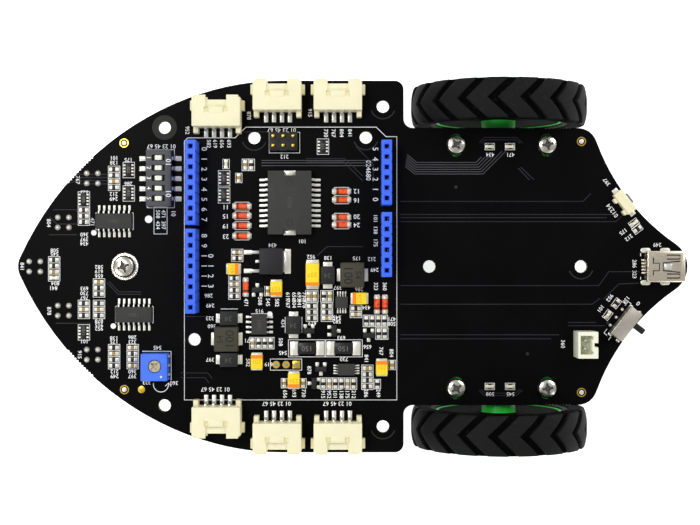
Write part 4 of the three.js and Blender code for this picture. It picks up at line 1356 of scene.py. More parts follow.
@dataclass
class ResetSwitch:
    """Side-pressed switch on the tail's edge: cream case with lobes, end pads and button."""

    body_node: str = "reset_switch_body"
    button_node: str = "reset_button"
    place: Place = Place(-67.92, -16.0, 29.4, 217.4)
    size: Corner = (3.0, 6.2, 2.6)
    button: Corner = (2.9, 0.65, 1.3)
    play: float = 0.12
    window_depth: float = 1.7
    button_depth: float = 0.9

    def build(self) -> None:
        """Makes the case and the button in place of their CAD nodes."""
        width, length, height = self.size
        kit = Kit(self.body_node)
        case = block((-width / 2 + 0.5, -length / 2, 0), (width / 2, length / 2, height), 0.18)
        lobe = block((-width / 2 - 0.3, -0.65, 0), (-width / 2 + 0.8, 0.65, height - 0.5), 0.2)
        lobes = copied(lobe, [Place(0, -2.1), Place(0, 1.6)])
        half = self.button[0] / 2 + self.play
        window = block((width / 2 - self.window_depth, -half, 0.5), (width / 2 + 1, half, height - 0.45))
        dent = block(
            (-width / 2 + 0.9, -length / 2 + 0.7, height - 0.1), (width / 2 - 0.8, length / 2 - 0.7, height + 1), 0.1
        )
        kit.add(CREAM, moved(joined([carved(case, window, dent), lobes]), self.place))
        ends = copied(
            block((-0.75, -0.55, -0.03), (0.75, 0.55, 0.5), 0.1), [Place(0.3, s * (length / 2 + 0.45)) for s in (-1, 1)]
        )
        kit.add(SOLDER, moved(ends, self.place))
        kit.close(self.body_node)
        press_width, reach, middle = self.button
        knob = block(
            (width / 2 - self.button_depth, -press_width / 2, middle - 0.6),
            (width / 2 + reach, press_width / 2, middle + 0.6),
            0.12,
            0.92,
        )
        pressed = Kit(self.button_node, "reset_button")
        pressed.add(BUTTON_GREY, moved(knob, self.place))
        pressed.close(self.button_node)


# ---- Running gear ----


def cross_head_screw(head_radius: float, head: float, shank_radius: float, shank: float) -> bpy.types.Object:
    """A pan-head screw with a cross recess and a threaded shank, its head seated at z = 0.

    Args:
        head_radius: Radius of the head.
        head: Height of the head.
        shank_radius: Outer radius of the thread.
        shank: Length below the head.

    Returns:
        The shape.
    """
    profile = [(0.4 * shank_radius, -shank), (0.8 * shank_radius, 0.35 - shank)]
    turns = int((shank - 1.2) / 0.5)
    for i in range(turns):
        profile += [(shank_radius * 0.8, 0.4 + 0.5 * i - shank), (shank_radius, 0.6 + 0.5 * i - shank)]
    profile += [(shank_radius * 0.85, -0.3), (shank_radius * 0.85, 0), (head_radius * 0.97, 0.0)]
    profile += [
        (head_radius, 0.15),
        (head_radius * 0.98, head * 0.55),
        (head_radius * 0.86, head * 0.85),
        (head_radius * 0.6, head),
    ]
    body = turned([*profile, (0.2, head)], 40)
    arm = block((-head_radius * 0.56, -0.28, head - 0.9), (head_radius * 0.56, 0.28, head + 1), 0.08)
    second = block((-0.28, -head_radius * 0.56, head - 0.9), (0.28, head_radius * 0.56, head + 1), 0.08)
    pit = turned([(0.15, head - 1.3), (head_radius * 0.3, head - 0.4), (head_radius * 0.34, head + 0.5)], 16)
    return carved(body, arm, second, pit)


def cross_floor(head_radius: float, head: float) -> bpy.types.Object:
    """A dark cross of painted shade on the floor of a screw's cross recess, placed like the screw."""
    reach = head_radius * 0.54
    arms = [
        block((-reach, -0.26, -0.12), (reach, 0.26, 0.0), 0.03),
        block((-0.26, -reach, -0.11), (0.26, reach, 0.02), 0.03),
    ]
    return moved(joined(arms), Place(z=head - 0.45))


@dataclass
class LineSensors:
    """Five reflective sensors under the nose: case with two lenses and solder joints."""

    names: tuple[str, ...]
    level: float
    underside: float
    lead_x: float = 1.4
    lead_y: float = 1.27

    def build(self) -> None:
        """Makes each sensor in place of its CAD node."""
        for name in self.names:
            low, high = span(name)
            x, y = (low.x + high.x) / 2, (low.y + high.y) / 2
            kit = Kit(name)
            case = block((low.x, low.y, low.z + 0.3), (high.x, high.y, 10.5), 0.3)
            wells = copied(turned([(1.25, 0), (1.3, 1.4)], 24), [Place(x, y + s * 1.55, low.z - 0.2) for s in (-1, 1)])
            rib = block((x - 0.3, low.y - 1, low.z - 1), (x + 0.3, high.y + 1, low.z + 0.45))
            case = carved(case, wells, rib)
            riser = block((x - 1.8, y - 2.3, 10.3), (x + 1.8, y + 2.3, self.underside), 0.25)
            kit.add(BLACK, case, riser)
            lens = turned([(1.22, 1.1), (1.15, 0.7), (0.8, 0.32), (0.3, 0.12)], 24)
            kit.add(LAMP, copied(lens, [Place(x, y + s * 1.55, low.z) for s in (-1, 1)]))
            spots = [Place(x + a * self.lead_x, y + b * self.lead_y, self.level) for a in (-1, 1) for b in (-1, 1)]
            cone = turned([(0.72, -0.02), (0.68, 0.12), (0.45, 0.4), (0.3, 0.62), (0.12, 0.7)], 20)
            kit.add(SOLDER, copied(cone, spots))
            kit.close(name)


@dataclass
class Caster:
    """The ball caster at the nose: screw, washer, standoff, cup and ball."""

    level: float

    def build(self) -> None:
        """Makes the screw and dresses the other nodes."""
        low, high = span("caster_screw")
        x, y, seat = (low.x + high.x) / 2, (low.y + high.y) / 2, span("caster_washer")[1].z
        screw = cross_head_screw((high.x - low.x) / 2, high.z - seat, 1.45, seat - low.z)
        kit = Kit("caster_screw")
        kit.add(ZINC, moved(leaned(screw, 20, "Z"), Place(x, y, seat)))
        # Painted shade: a dark cross at the bottom of the screw's recess.
        floor = cross_floor((high.x - low.x) / 2, high.z - seat)
        kit.add(GREY_PLASTIC_AND_SHADE, moved(leaned(floor, 20, "Z"), Place(x, y, seat)))
        kit.close("caster_screw")
        low, high = span("caster_washer")
        inner = 1.7
        profile = [
            (inner, low.z), (high.x - x, low.z), (high.x - x, high.z - 0.1), (high.x - x - 0.1, high.z), (inner, high.z)
        ]
        kit = Kit("caster_washer")
        kit.add(ZINC, moved(turned(profile, 48, ring=True), Place(x, y)))
        kit.close("caster_washer")
        dress_node("caster_standoff", BRASS)
        dress_node("caster_housing", BLACK)
        dress_node("caster_ball", CHROME)


@dataclass
class Drive:
    """One wheel with its gearmotor and bracket."""

    side: str
    level: float
    lugs: int = 18
    groove: float = 2.4
    tread: float = 1.1
    sweep: float = 2.75
    crown: float = 0.7
    shift: float = 0.6

    def tyre(self) -> None:
        """A carcass ring with chevron lugs wrapped round it."""
        node = f"{self.side}_tyre"
        low, high = span(node)
        sign = 1 if self.side == "left" else -1
        outer, centre = (high.x - low.x) / 2, (low + high) / 2
        middle = centre.y - sign * self.shift
        width, inner = high.y - low.y - 0.4, 17.25
        floor = outer - self.tread
        half = width / 2
        profile = [(inner, -half + 0.5), (inner + 0.5, -half), (floor - 0.4, -half), (floor, -half + 0.4)]
        profile += [(floor, half - 0.4), (floor - 0.4, half), (inner + 0.5, half), (inner, half - 0.5)]
        carcass = turned([(r, z) for r, z in profile], 144, ring=True)
        length = 2 * math.pi * outer / self.lugs - self.groove
        bpy.ops.mesh.primitive_grid_add(x_subdivisions=6, y_subdivisions=14, size=MM)
        lug = bpy.context.active_object
        bpy.ops.transform.resize(value=(length, width, 1))
        settle(lug)
        with editing(lug):
            bpy.ops.mesh.select_all(action="SELECT")
            bpy.ops.mesh.extrude_region_move(TRANSFORM_OT_translate={"value": (0, 0, (self.tread + 0.25) * MM)})
            bpy.ops.mesh.select_all(action="SELECT")
            bpy.ops.mesh.normals_make_consistent(inside=False)
        softened(lug, 0.22, 2)
        for vertex in lug.data.vertices:
            u, v, w = vertex.co / MM
            radius = floor - 0.25 + w - self.crown * abs(v / half) ** 3
            angle = u / outer + math.radians(self.sweep) * abs(v)
            vertex.co = Vector((-radius * math.sin(angle), v, radius * math.cos(angle))) * MM
        ring = []
        for i in range(self.lugs):
            twin = lug.copy()
            twin.data = lug.data.copy()
            bpy.context.collection.objects.link(twin)
            ring.append(leaned(twin, 360 / self.lugs * i, "Y"))
        bpy.data.objects.remove(lug)
        kit = Kit(node, f"{self.side}_wheel")
        bead = turned([(16.1, 4.02), (17.6, 4.02), (17.6, 4.6), (16.2, 4.4)], 96, ring=True)
        # Dark disc closing the deck side of the wheel behind the hub: painted shade standing in for the shadow inside
        # the wheel.
        painted_shade_disc = turned([(4.8, 3.5), (15.2, 3.7), (15.2, 3.9), (4.8, 3.7)], 72, ring=True)
        inner = [leaned(shape, 90 * sign, "X") for shape in (bead, painted_shade_disc)]
        place = Place(centre.x, middle, centre.z)
        kit.add(TYRE, moved(joined([*ring, inner[0]]), place))
        # The carcass finish also dresses the disc of painted shade.
        kit.add(CARCASS_AND_SHADE, moved(joined([leaned(carcass, 90, "X"), inner[1]]), place))
        kit.close(node)

    def screws(self) -> None:
        """The two screws that hold the motor bracket under the deck."""
        for end in ("front", "rear"):
            node = f"{self.side}_bracket_screw_{end}"
            low, high = span(node)
            x, y = (low.x + high.x) / 2, (low.y + high.y) / 2
            screw = cross_head_screw((high.x - low.x) / 2, high.z - self.level, 1.2, self.level - low.z)
            kit = Kit(node)
            turn = 35 if end == "front" else 10
            kit.add(ZINC, moved(leaned(screw, turn, "Z"), Place(x, y, self.level)))
            # Painted shade: a dark cross at the bottom of the screw's recess.
            floor = cross_floor((high.x - low.x) / 2, high.z - self.level)
            kit.add(GREY_PLASTIC_AND_SHADE, moved(leaned(floor, turn, "Z"), Place(x, y, self.level)))
            kit.close(node)

    def terminals(self) -> None:
        """Two soldered tags on the end cap."""
        low, high = span(f"{self.side}_motor_end_cap")
        sign = 1 if self.side == "left" else -1
        face = low.y if sign > 0 else high.y
        x, z = (low.x + high.x) / 2, (low.z + high.z) / 2
        kit = Kit(f"{self.side}_motor_tags")
        tag = block((-0.9, -0.15, -0.35), (0.9, 0.15, 0.35), 0.08)
        near, far = sorted((face, face - sign * 0.05))
        places = [Place(x + s * 3.9, (near + far) / 2, z) for s in (-1, 1)]
        kit.add(TERMINAL, copied(tag, places))
        blob = turned([(0.5, 0), (0.42, 0.2), (0.12, 0.3)], 14)
        kit.add(SOLDER, copied(leaned(blob, 90 * sign, "X"), [Place(p.x, face, z) for p in places]))
        kit.close()

    def build(self) -> None:
        """Makes the tyre, screws and tags, and dresses the other nodes."""
        self.tyre()
        self.screws()
        self.terminals()
        finishes = {
            "rim": GREEN,
            "motor_bracket": GREEN,
            "output_shaft": STEEL,
            "output_gear": BRASS,
            "cluster_gear": BRASS,
            "motor_rotor": STEEL,
            "motor_can": STEEL,
            "motor_end_cap": BLACK,
            "gearbox_frame": BRASS,
        }
        for part, finish in finishes.items():
            dress_node(f"{self.side}_{part}", finish)


# ---- Parts soldered on the deck ----


class Package(Enum):
    """Moulded packages: body length along the pins, width, height, pins a side, pitch, foot reach."""

    QUAD = (9.2, 3.9, 1.6, 7, 1.27, 1.7)
    OCTAL = (4.9, 3.9, 1.6, 4, 1.27, 1.1)
    MINI_EIGHT = (3.1, 2.9, 1.1, 4, 0.65, 0.95)
    MINI_TEN = (2.9, 4.3, 1.1, 4, 0.65, 0.75)
    POWER = (16.1, 11.0, 3.0, 10, 1.285, 1.85)


@dataclass
class GullWingChips:
    """Moulded chips with bent leads on their long sides."""

    level: float
    fitted: dict[Package, tuple[Place, ...]]

    @staticmethod
    def lead(package: Package) -> bpy.types.Object:
        """One bent lead that leaves the body along +Y from y = 0."""
        _, _, height, _, pitch, reach = package.value
        exit_level, width = height * 0.55, min(0.42, pitch * 0.32) * (1.5 if package is Package.POWER else 1)
        knee, step = reach * 0.28, 0.16
        side = [
            (-0.3, exit_level + step), (-0.3, exit_level), (knee - 0.08, exit_level), (knee + 0.2, 0.03), (reach, 0.03)
        ]
        side += [(reach, 0.03 + step), (knee + 0.34, 0.05 + step), (knee + 0.08, exit_level + step)]
        shape = plate(side, -width / 2, width / 2, 0.03)
        return leaned(leaned(shape, 90, "X"), 90, "Z")

    def build_package(self, package: Package, places: tuple[Place, ...]) -> None:
        """Models one chip of a package and copies it to its places.

        Args:
            package: The package.
            places: Where its chips stand.
        """
        length, width, height, pins, pitch, reach = package.value
        spots = [Place(p.x, p.y, self.level, p.turn) for p in places]
        body = block((-length / 2, -width / 2, 0.12), (length / 2, width / 2, height), 0.07, 0.985)
        body = carved(
            body, moved(turned([(0.28, -0.09), (0.3, 0.3)], 18), Place(-length / 2 + 0.8, -width / 2 + 0.75, height))
        )
        waist = copied(
            block((-length, -0.06, -0.05), (length, 0.06, 0.05)),
            [Place(0, s * width / 2, height * 0.62) for s in (-1, 1)],
        )
        kit = Kit(f"chip_{package.name.lower()}")
        body = carved(body, waist)
        if package is Package.POWER:
            nooks = [block((s * length / 2 - 1.3, -1.55, -1), (s * length / 2 + 1.3, 1.55, 9), 0.1) for s in (-1, 1)]
            dimple = turned([(0.8, height - 0.12), (0.93, height + 0.3)], 28)
            body = carved(body, *nooks, copied(dimple, [Place(-4.95), Place(4.95)]))
        kit.add(COMPOUND, copied(body, spots))
        row = [pitch * (i - (pins - 1) / 2) for i in range(pins)]
        leads = [Place(x, width / 2, 0, 0) for x in row] + [Place(x, -width / 2, 0, 180) for x in row]
        kit.add(TERMINAL, copied(copied(self.lead(package), leads), spots))
        foot = min(0.6, pitch * 0.55)
        pad = block((-foot / 2, reach * 0.45, -0.02), (foot / 2, reach + 0.35, 0.13), 0.05)
        kit.add(SOLDER, copied(copied(pad, leads), spots))
        if package is Package.POWER:
            tabs = [block((s * (length / 2 - 0.65) - 0.7, -1.5, 0.3), (s * (length / 2 - 0.65) + 0.7, 1.5, 1.2), 0.1) for s in (-1, 1)]
            kit.add(SOLDER, copied(joined(tabs), spots))
        if pitch > 1:
            labels = [Label(str(1000 + 123 * pins), p.x, p.y, 1.0, p.turn) for p in places]
            kit.add(FAINT_INK, lettering(labels, self.level + height, 0.015))
        kit.close()

    def build(self) -> None:
        """Builds every package."""
        for package, places in self.fitted.items():
            self.build_package(package, places)


@dataclass(frozen=True)
class Row:
    """A framed group of small chips: middle, parts in order and turn."""

    x: float
    y: float
    parts: str
    turn: float = 0.0


@dataclass
class SmallChips:
    """Chip resistors, capacitors, resistor networks and lamps, in silk-screened frames."""

    level: float
    rows: tuple[Row, ...]
    pitch: float = 1.52
    length: float = 2.1
    width: float = 0.95

    def tally(self) -> dict[str, list[Place]]:
        """Places of each kind of part: r resistor, c capacitor, l lamp, n network."""
        found: dict[str, list[Place]] = {"r": [], "c": [], "l": [], "n": []}
        for row in self.rows:
            total = sum(2.5 if part == "n" else 1 for part in row.parts) * self.pitch
            along = -total / 2
            for part in row.parts:
                step = self.pitch * (2.5 if part == "n" else 1)
                spot = Place(row.x, row.y, self.level, row.turn).matrix() @ Vector((0, (along + step / 2) * MM, 0))
                found[part].append(Place(spot.x / MM, spot.y / MM, self.level, row.turn))
                along += step
        return found

    def frames(self) -> list[list[Point]]:
        """Outline and dividers of each row."""
        lines = []
        for row in self.rows:
            total = sum(2.5 if part == "n" else 1 for part in row.parts) * self.pitch
            width = 2.4 if row.parts in ("r", "c", "l") else 2.9
            lines.append(rectangle(row.x, row.y, width, total + 0.1, row.turn))
            along = -total / 2
            for part in row.parts[:-1]:
                along += self.pitch * (2.5 if part == "n" else 1)
                ends = [
                    Place(row.x, row.y, 0, row.turn).matrix() @ Vector((s * 1.45 * MM, along * MM, 0)) for s in (-1, 1)
                ]
                lines.append([(end.x / MM, end.y / MM) for end in ends])
        return lines

    def build(self) -> None:
        """Models each kind once and copies it along the rows."""
        found = self.tally()
        kit = Kit("small_chips")
        half, wide = self.length / 2 - 0.25, self.width / 2
        end = copied(block((half - 0.42, -wide, 0.02), (half, wide, 0.56), 0.06), [Place(), Place(turn=180)])
        pad = block((half - 0.45, -wide - 0.06, -0.02), (half + 0.5, wide + 0.06, 0.2), 0.09, 0.8)
        fillet = copied(pad, [Place(), Place(turn=180)])
        every = found["r"] + found["c"] + found["l"]
        kit.add(SOLDER, copied(joined([end, fillet]), every))
        middle = block((-half + 0.38, -wide, 0.03), (half - 0.38, wide, 0.54), 0.03)
        kit.add(CERAMIC_DARK, copied(middle, found["r"]))
        middle = block((-half + 0.38, -wide, 0.03), (half - 0.38, wide, 0.66), 0.08)
        kit.add(CERAMIC_TAN, copied(middle, found["c"]))
        dome = block((-half + 0.38, -wide + 0.05, 0.03), (half - 0.38, wide - 0.05, 0.8), 0.18, 0.86)
        kit.add(LAMP, copied(dome, found["l"]))
        array = block((-0.72, -1.62, 0.03), (0.72, 1.62, 0.55), 0.06)
        kit.add(CERAMIC_DARK, copied(array, found["n"]))
        foot = block((0.6, -0.26, -0.02), (1.35, 0.26, 0.46), 0.1, 0.85)
        feet = [Place(0, 0.8 * (i - 1.5), 0, turn) for i in range(4) for turn in (0, 180)]
        kit.add(SOLDER, copied(copied(foot, feet), found["n"]))
        kit.close()
        digits = [Label(str(100 + 111 * (i % 5)), p.x, p.y, 0.75, p.turn + 90) for i, p in enumerate(found["n"])]
        marks = Kit("network_markings")
        marks.add(DIM_INK, lettering(digits, self.level + 0.55, 0.02))
        marks.close()


class CaseKind(Enum):
    """Moulded two-ended cases: length, width, height and finish of the case."""

    LARGE_CAPACITOR = (5.8, 3.45, 2.7, TANTALUM)
    CAPACITOR = (3.6, 3.0, 2.0, TANTALUM)
    SMALL_CAPACITOR = (2.9, 2.9, 1.8, TANTALUM)
    POWER_DIODE = (4.6, 3.6, 2.3, BLACK)
    INDUCTOR = (6.2, 6.4, 3.0, FERRITE)
    SHUNT = (4.9, 2.9, 0.6, CERAMIC_DARK)


@dataclass(frozen=True)
class Fitted:
    """One two-ended case: kind, middle, turn and printed digits."""

    kind: CaseKind
    x: float
    y: float
    turn: float = 0.0
    digits: str = ""


@dataclass
class TwoEndedCases:
    """Tantalum capacitors, power diodes, inductors and shunt resistors."""

    level: float
    fitted: tuple[Fitted, ...]

    def ends(self, kind: CaseKind) -> list[bpy.types.Object]:
        """Terminals and solder at both ends of a case."""
        length, width, height, _ = kind.value
        reach, tall, grip = {
            CaseKind.INDUCTOR: (0.9, 0.5, 1.6),
            CaseKind.SHUNT: (1.9, 0.95, 1.75),
            CaseKind.POWER_DIODE: (1.1, 0.5, 1.15),
            CaseKind.LARGE_CAPACITOR: (0.85, 0.8, 1.55),
        }.get(kind, (0.45, 0.8, 0.45 * width))
        tall *= height
        wrapped = (-0.1, 1.5, 0.1) if kind is CaseKind.SHUNT else (-0.2, 0.22, 0.07)
        wrap = block((length / 2 + wrapped[0], -grip, 0.04), (length / 2 + wrapped[1], grip, tall), wrapped[2])
        foot = block((length / 2 - 0.3, -grip - 0.1, -0.03), (length / 2 + reach, grip + 0.1, 0.35), 0.14, 0.9)
        return [copied(joined([wrap, foot]), [Place(), Place(turn=180)])]

    def build_kind(self, kind: CaseKind, group: list[Fitted]) -> None:
        """Models one case of a kind and copies it.

        Args:
            kind: The kind.
            group: Where its cases stand.
        """
        length, width, height, finish = kind.value
        spots = [Place(one.x, one.y, self.level, one.turn) for one in group]
        soft = {CaseKind.INDUCTOR: 0.35, CaseKind.SHUNT: 0.05}.get(kind, 0.12)
        body = block((-length / 2, -width / 2, 0.1), (length / 2, width / 2, height), soft, 0.96)
        kit = Kit(f"case_{kind.name.lower()}")
        kit.add(finish, copied(body, spots))
        kit.add(SOLDER, copied(joined(self.ends(kind)), spots))
        if finish is TANTALUM:
            band = block(
                (-length / 2 + 0.1, -width / 2 * 0.95, height - 0.02),
                (-length / 2 + 0.95, width / 2 * 0.95, height + 0.03),
                0.02,
            )
            kit.add(ORANGE_BAND, copied(band, spots))
        ink = {CaseKind.SHUNT: DIM_INK, CaseKind.POWER_DIODE: FAINT_INK, CaseKind.INDUCTOR: CERAMIC_DARK}.get(
            kind, AMBER_INK
        )
        kit.add(ink, lettering([label for one in group for label in self.labels(one)], self.level + height, 0.02))
        kit.close()

    @staticmethod
    def labels(one: Fitted) -> list[Label]:
        """Digits on top of a case."""
        if one.kind is CaseKind.INDUCTOR:
            side = math.cos(math.radians(one.turn))
            large = Label(one.digits, one.x + 1.1 * side, one.y, 2.2, one.turn + 90)
            return [large, Label("54", one.x - 1.4 * side, one.y, 1.5, one.turn + 90)]
        if one.kind in (CaseKind.SHUNT, CaseKind.POWER_DIODE):
            return [Label(one.digits, one.x, one.y, 1.3)]
        return [Label(one.digits, one.x, one.y, 1.1, one.turn + 90)]

    def build(self) -> None:
        """Builds every kind that is fitted."""
        for kind in CaseKind:
            group = [one for one in self.fitted if one.kind is kind]
            if group:
                self.build_kind(kind, group)


@dataclass
class GlassDiodes:
    """Glass cylinder diodes with plated end caps."""

    level: float
    places: tuple[Place, ...]
    length: float = 4.4
    radius: float = 0.78

    def build(self) -> None:
        """Models one diode and copies it."""
        spots = [Place(p.x, p.y, self.level + self.radius * 0.9, p.turn) for p in self.places]
        half, r = self.length / 2, self.radius
        kit = Kit("glass_diodes")
        glass = turned(
            [(r * 0.8, 0.65 - half), (r * 0.94, 0.8 - half), (r * 0.94, half - 0.8), (r * 0.8, half - 0.65)], 22
        )
        kit.add(GLASS, copied(leaned(glass, 90, "Y"), spots))
        cap = turned(
            [(r * 0.75, half - 0.85), (r, half - 0.75), (r, half - 0.1), (r * 0.85, half), (r * 0.2, half)], 22
        )
        solder = block((half - 0.6, -r * 0.9, -r * 0.95), (half + 0.25, r * 0.9, -r * 0.3), 0.12, 0.85)
        end = joined([leaned(cap, 90, "Y"), solder])
        kit.add(SOLDER, copied(copied(end, [Place(), Place(turn=180)]), spots))
        band = turned([(r * 0.965, 0.75), (r * 0.97, 0.8), (r * 0.97, 1.05), (r * 0.965, 1.1)], 22)
        kit.add(BLACK, copied(leaned(band, 90, "Y"), spots))
        kit.close()


@dataclass
class Regulators:
    """The tab-mounted regulator and the three-legged transistors."""

    level: float
    regulator: Place = Place(20.5, -1.3)
    transistors: tuple[Place, ...] = (
        Place(24.0, 5.9, turn=90),
        Place(11.0, 16.2, turn=-90),
        Place(4.7, 16.2),
        Place(8.0, 25.8, turn=-90),
        Place(-4.0, 17.3, turn=-90),
        Place(9.7, 29.4, turn=180),
    )

    def build(self) -> None:
        """Builds the regulator and copies the transistor."""
        x, y = self.regulator.x, self.regulator.y
        kit = Kit("regulator")
        kit.add(BLACK, moved(block((-3.05, -3.4, 0.15), (3.05, 3.4, 2.3), 0.12, 0.95), Place(x, y, self.level)))
        tab = block((-4.4, -2.7, 0), (-2.9, 2.7, 0.6), 0.08)
        legs = [block((2.9, s - 0.4, 0.05), (6.4, s + 0.4, 0.35), 0.08) for s in (-2.3, 2.4)]
        legs.append(block((2.9, -0.35, 0.05), (4.0, 0.35, 0.35), 0.08))
        kit.add(TERMINAL, moved(joined([tab, *legs]), Place(x, y, self.level)))
        pads = [block((-4.9, -3.1, -0.02), (-3.4, 3.1, 0.12), 0.05)]
        pads += [block((4.9, s - 0.55, -0.02), (6.9, s + 0.55, 0.16), 0.07) for s in (-2.3, 2.4)]
        kit.add(SOLDER, moved(joined(pads), Place(x, y, self.level)))
        kit.close()
        spots = [Place(p.x, p.y, self.level, p.turn) for p in self.transistors]
        small = Kit("transistors")
        small.add(BLACK, copied(block((-0.65, -1.45, 0.1), (0.65, 1.45, 1.0), 0.08, 0.93), spots))
        leg = joined(
            [block((0.6, -0.22, 0.0), (1.25, 0.22, 0.3), 0.05), block((0.75, -0.43, -0.02), (1.65, 0.43, 0.14), 0.05)]
        )
        legs = copied(leg, [Place(0, -0.95), Place(0, 0.95), Place(turn=180)])
        small.add(SOLDER, copied(legs, spots))
        small.close()


# ---- Printing ----


@dataclass
class Silkscreen:
    """White printing on the deck: outlines, frames and numbers."""

    level: float
    chips: SmallChips
    diodes: tuple[Point, ...]
    line: float = 0.17
    numbers: tuple[tuple[float, float, float], ...] = (
        (60.1, -27.4, 0), (60.1, -26.2, 0), (56.5, -26.9, 0), (60.2, -18.3, 0), (60.2, -17.1, 0), (56.5, -20.9, 0),
        (67.6, -18.7, 0), (67.6, -8.1, 0), (67.6, -6.9, 0), (67.6, -5.8, 0), (65.6, -11.2, 90), (75.1, -4.1, 0),
        (75.1, -3.2, 0), (63.9, 0.1, 0), (63.9, 1.2, 0), (63.9, 2.4, 0), (67.6, 5.5, 0), (67.6, 6.7, 0), (67.6, 7.9, 0),
        (74.9, 4.2, 0), (75.4, 5.4, 0), (63.9, 13.7, 0), (63.9, 14.7, 0), (63.9, 15.6, 0), (67.6, 18.8, 0),
        (60.1, 18.0, 0), (60.1, 18.9, 0), (60.0, 26.4, 0), (60.0, 27.6, 0), (55.5, 17.8, 0), (55.5, 19.0, 0),
        (55.5, 26.4, 0), (55.5, 27.6, 0), (20.2, -5.4, 0), (26.9, 9.1, 90), (23.4, 8.7, 90), (21.4, 9.0, 90),
        (19.1, 9.1, 90), (16.4, 7.5, 90), (14.8, 7.5, 90), (13.5, 7.5, 90), (12.2, 7.5, 90), (16.4, 9.4, 90),
        (14.8, 9.4, 90), (13.5, 9.4, 90), (12.2, 9.4, 90), (23.5, 11.2, 0), (10.5, -2.5, 0), (12.7, -6.4, 0),
        (6.2, -2.2, 0), (-1.0, -2.1, 0), (-4.8, -1.9, 0), (-5.5, 0.8, 0), (-1.6, 5.7, 0), (-5.8, 5.0, 90),
        (-8.0, 5.0, 90), (3.8, 5.3, 0), (-3.4, 10.3, 0), (-9.8, 13.2, 0), (-9.8, 14.4, 0), (4.0, 12.8, 0),
        (4.0, 13.8, 0), (10.2, 14.3, 0), (-3.7, 20.2, 0), (2.9, 17.9, 0), (2.2, 23.3, 0), (-7.1, 21.3, 90),
        (-9.7, 21.8, 90), (-3.4, 23.2, 90), (11.0, 26.1, 90), (7.5, 32.2, 90), (6.0, 32.2, 90), (4.5, 32.2, 90),
        (2.9, 32.2, 90), (1.4, 32.2, 90), (-0.2, 32.2, 90), (-6.4, 31.9, 90), (-3.3, 31.9, 90), (36.0, 13.0, 0),
        (35.5, 15.0, 0), (35.9, 23.4, 0), (17.6, 14.3, 90), (26.3, 18.6, 0), (18.2, 19.0, 90), (17.6, 21.7, 0),
        (26.4, 24.2, 90), (21.2, 24.6, 0), (17.1, 32.1, 90), (14.8, 31.9, 90), (12.4, 31.9, 90), (69.3, -21.8, 90),
        (76.6, -10.95, 90), (83.3, 0.0, 90), (76.5, 11.2, 90), (68.8, 22.2, 90), (-64.7, 7.9, 52.5),
        (-62.4, 10.6, 52.5),
        (-68.8, 8.4, 52.5), (-68.1, -8.8, 37), (-69.5, -7.3, 37), (-76.7, -5.5, 0),
        (-70.9, -0.7, 90), (-70.9, 2.0, 90), (-52.9, 19.5, 90), (-64.0, -21.3, -52.6), (-34.6, -28.2, 0),
        (-39.7, -28.2, 0), (-34.6, 32.1, 0), (-39.7, 32.1, 0), (36.3, -30.9, 90), (34.7, -30.9, 90), (33.0, -30.9, 90),
        (31.2, -30.9, 90), (6.8, -33.6, 90), (4.9, -33.6, 90), (2.85, -33.6, 90), (0.75, -33.6, 90), (26.2, -38.0, 90),
        (10.8, -38.7, 90), (41.7, -34.3, 90), (-5.7, -12.1, 90), (-5.7, -9.2, 90), (-5.7, -6.0, 90), (17.2, -27.7, 0),
        (35.9, 9.8, 0), (36.3, 7.3, 0), (51.9, 29.2, 0), (45.0, 29.3, 0), (47.7, -10.4, 90), (49.1, -10.4, 90),
        (47.7, -13.2, 90), (49.1, -13.2, 90), (49.2, 20.4, 0), (31.9, 15.9, 0),
    )

    def outlines(self) -> list[list[Point]]:
        """Closed and open lines round the parts."""
        lines: list[list[Point]] = []
        board = [
            (42.4, -31.6), (41.5, -32.4), (29.6, -32.4), (26.9, -35.1), (-5.9, -35.1), (-8.4, -32.7), (-11.1, -32.7)
        ]
        board += [(-11.1, 33.6), (42.4, 33.6), (42.4, -31.6)]
        lines.append(board)
        for x, y, width, depth in (
            (17.2, -31.2, 7.7, 5.2), (16.8, 24.7, 7.9, 2.8), (48.4, -11.6, 3.3, 6.8),
            (11.5, 20.6, 9.4, 4.3), (2.3, 20.6, 9.4, 4.3),
        ):
            lines.append(rectangle(x, y, width, depth))
        for x, y in ((60.0, -11.4), (55.0, 12.1)):
            for s in (-1, 1):
                lines.append(
                    [(x + s * 4.5, y - 2.2), (x + s * 4.75, y - 1.95), (x + s * 4.75, y + 1.95), (x + s * 4.5, y + 2.2)]
                )
        for s in (-1, 1):
            lines.append(
                [(51.9, -22.1 + s * 6.6), (51.7, -22.1 + s * 7.3), (44.9, -22.1 + s * 7.3), (44.9, -22.1 + s * 5.6)]
            )
            lines.append([(-72.5, s * 2.6), (-72.5, s * 3.4)])
            lines.append([(14.9 + s * 2.1, 12.7), (14.9 + s * 2.1, 16.7)])
            for x, y in self.diodes:
                lines.append([(x - 2.1, y + s * 0.6), (x - 1.7, y + s), (x + 1.7, y + s), (x + 2.1, y + s * 0.6)])
        lines += [[(21.4, 11.9), (25.6, 11.9)], [(29.0, 10.7), (33.2, 10.7)]]
        lines.append([(53.0, 21.35), (45.75, 21.35), (45.75, 28.6)])
        lines += [arc(48.3, 29.7, 1.9, -10, 190, 18), [(45.7, 30.2), (46.4, 29.3), (47.2, 30.1)]]
        place, half_x, half_y = Place(-68.3, 14.3, 0, 142.5), 2.5, 5.0
        for b in (-1, 1):
            corner = [(-half_x, b * (half_y - 1.3)), (-half_x, b * half_y), (1.0 - half_x, b * half_y)]
            spots = [place.matrix() @ Vector((u * MM, v * MM, 0)) for u, v in corner]
            lines.append([(spot.x / MM, spot.y / MM) for spot in spots])
        return lines

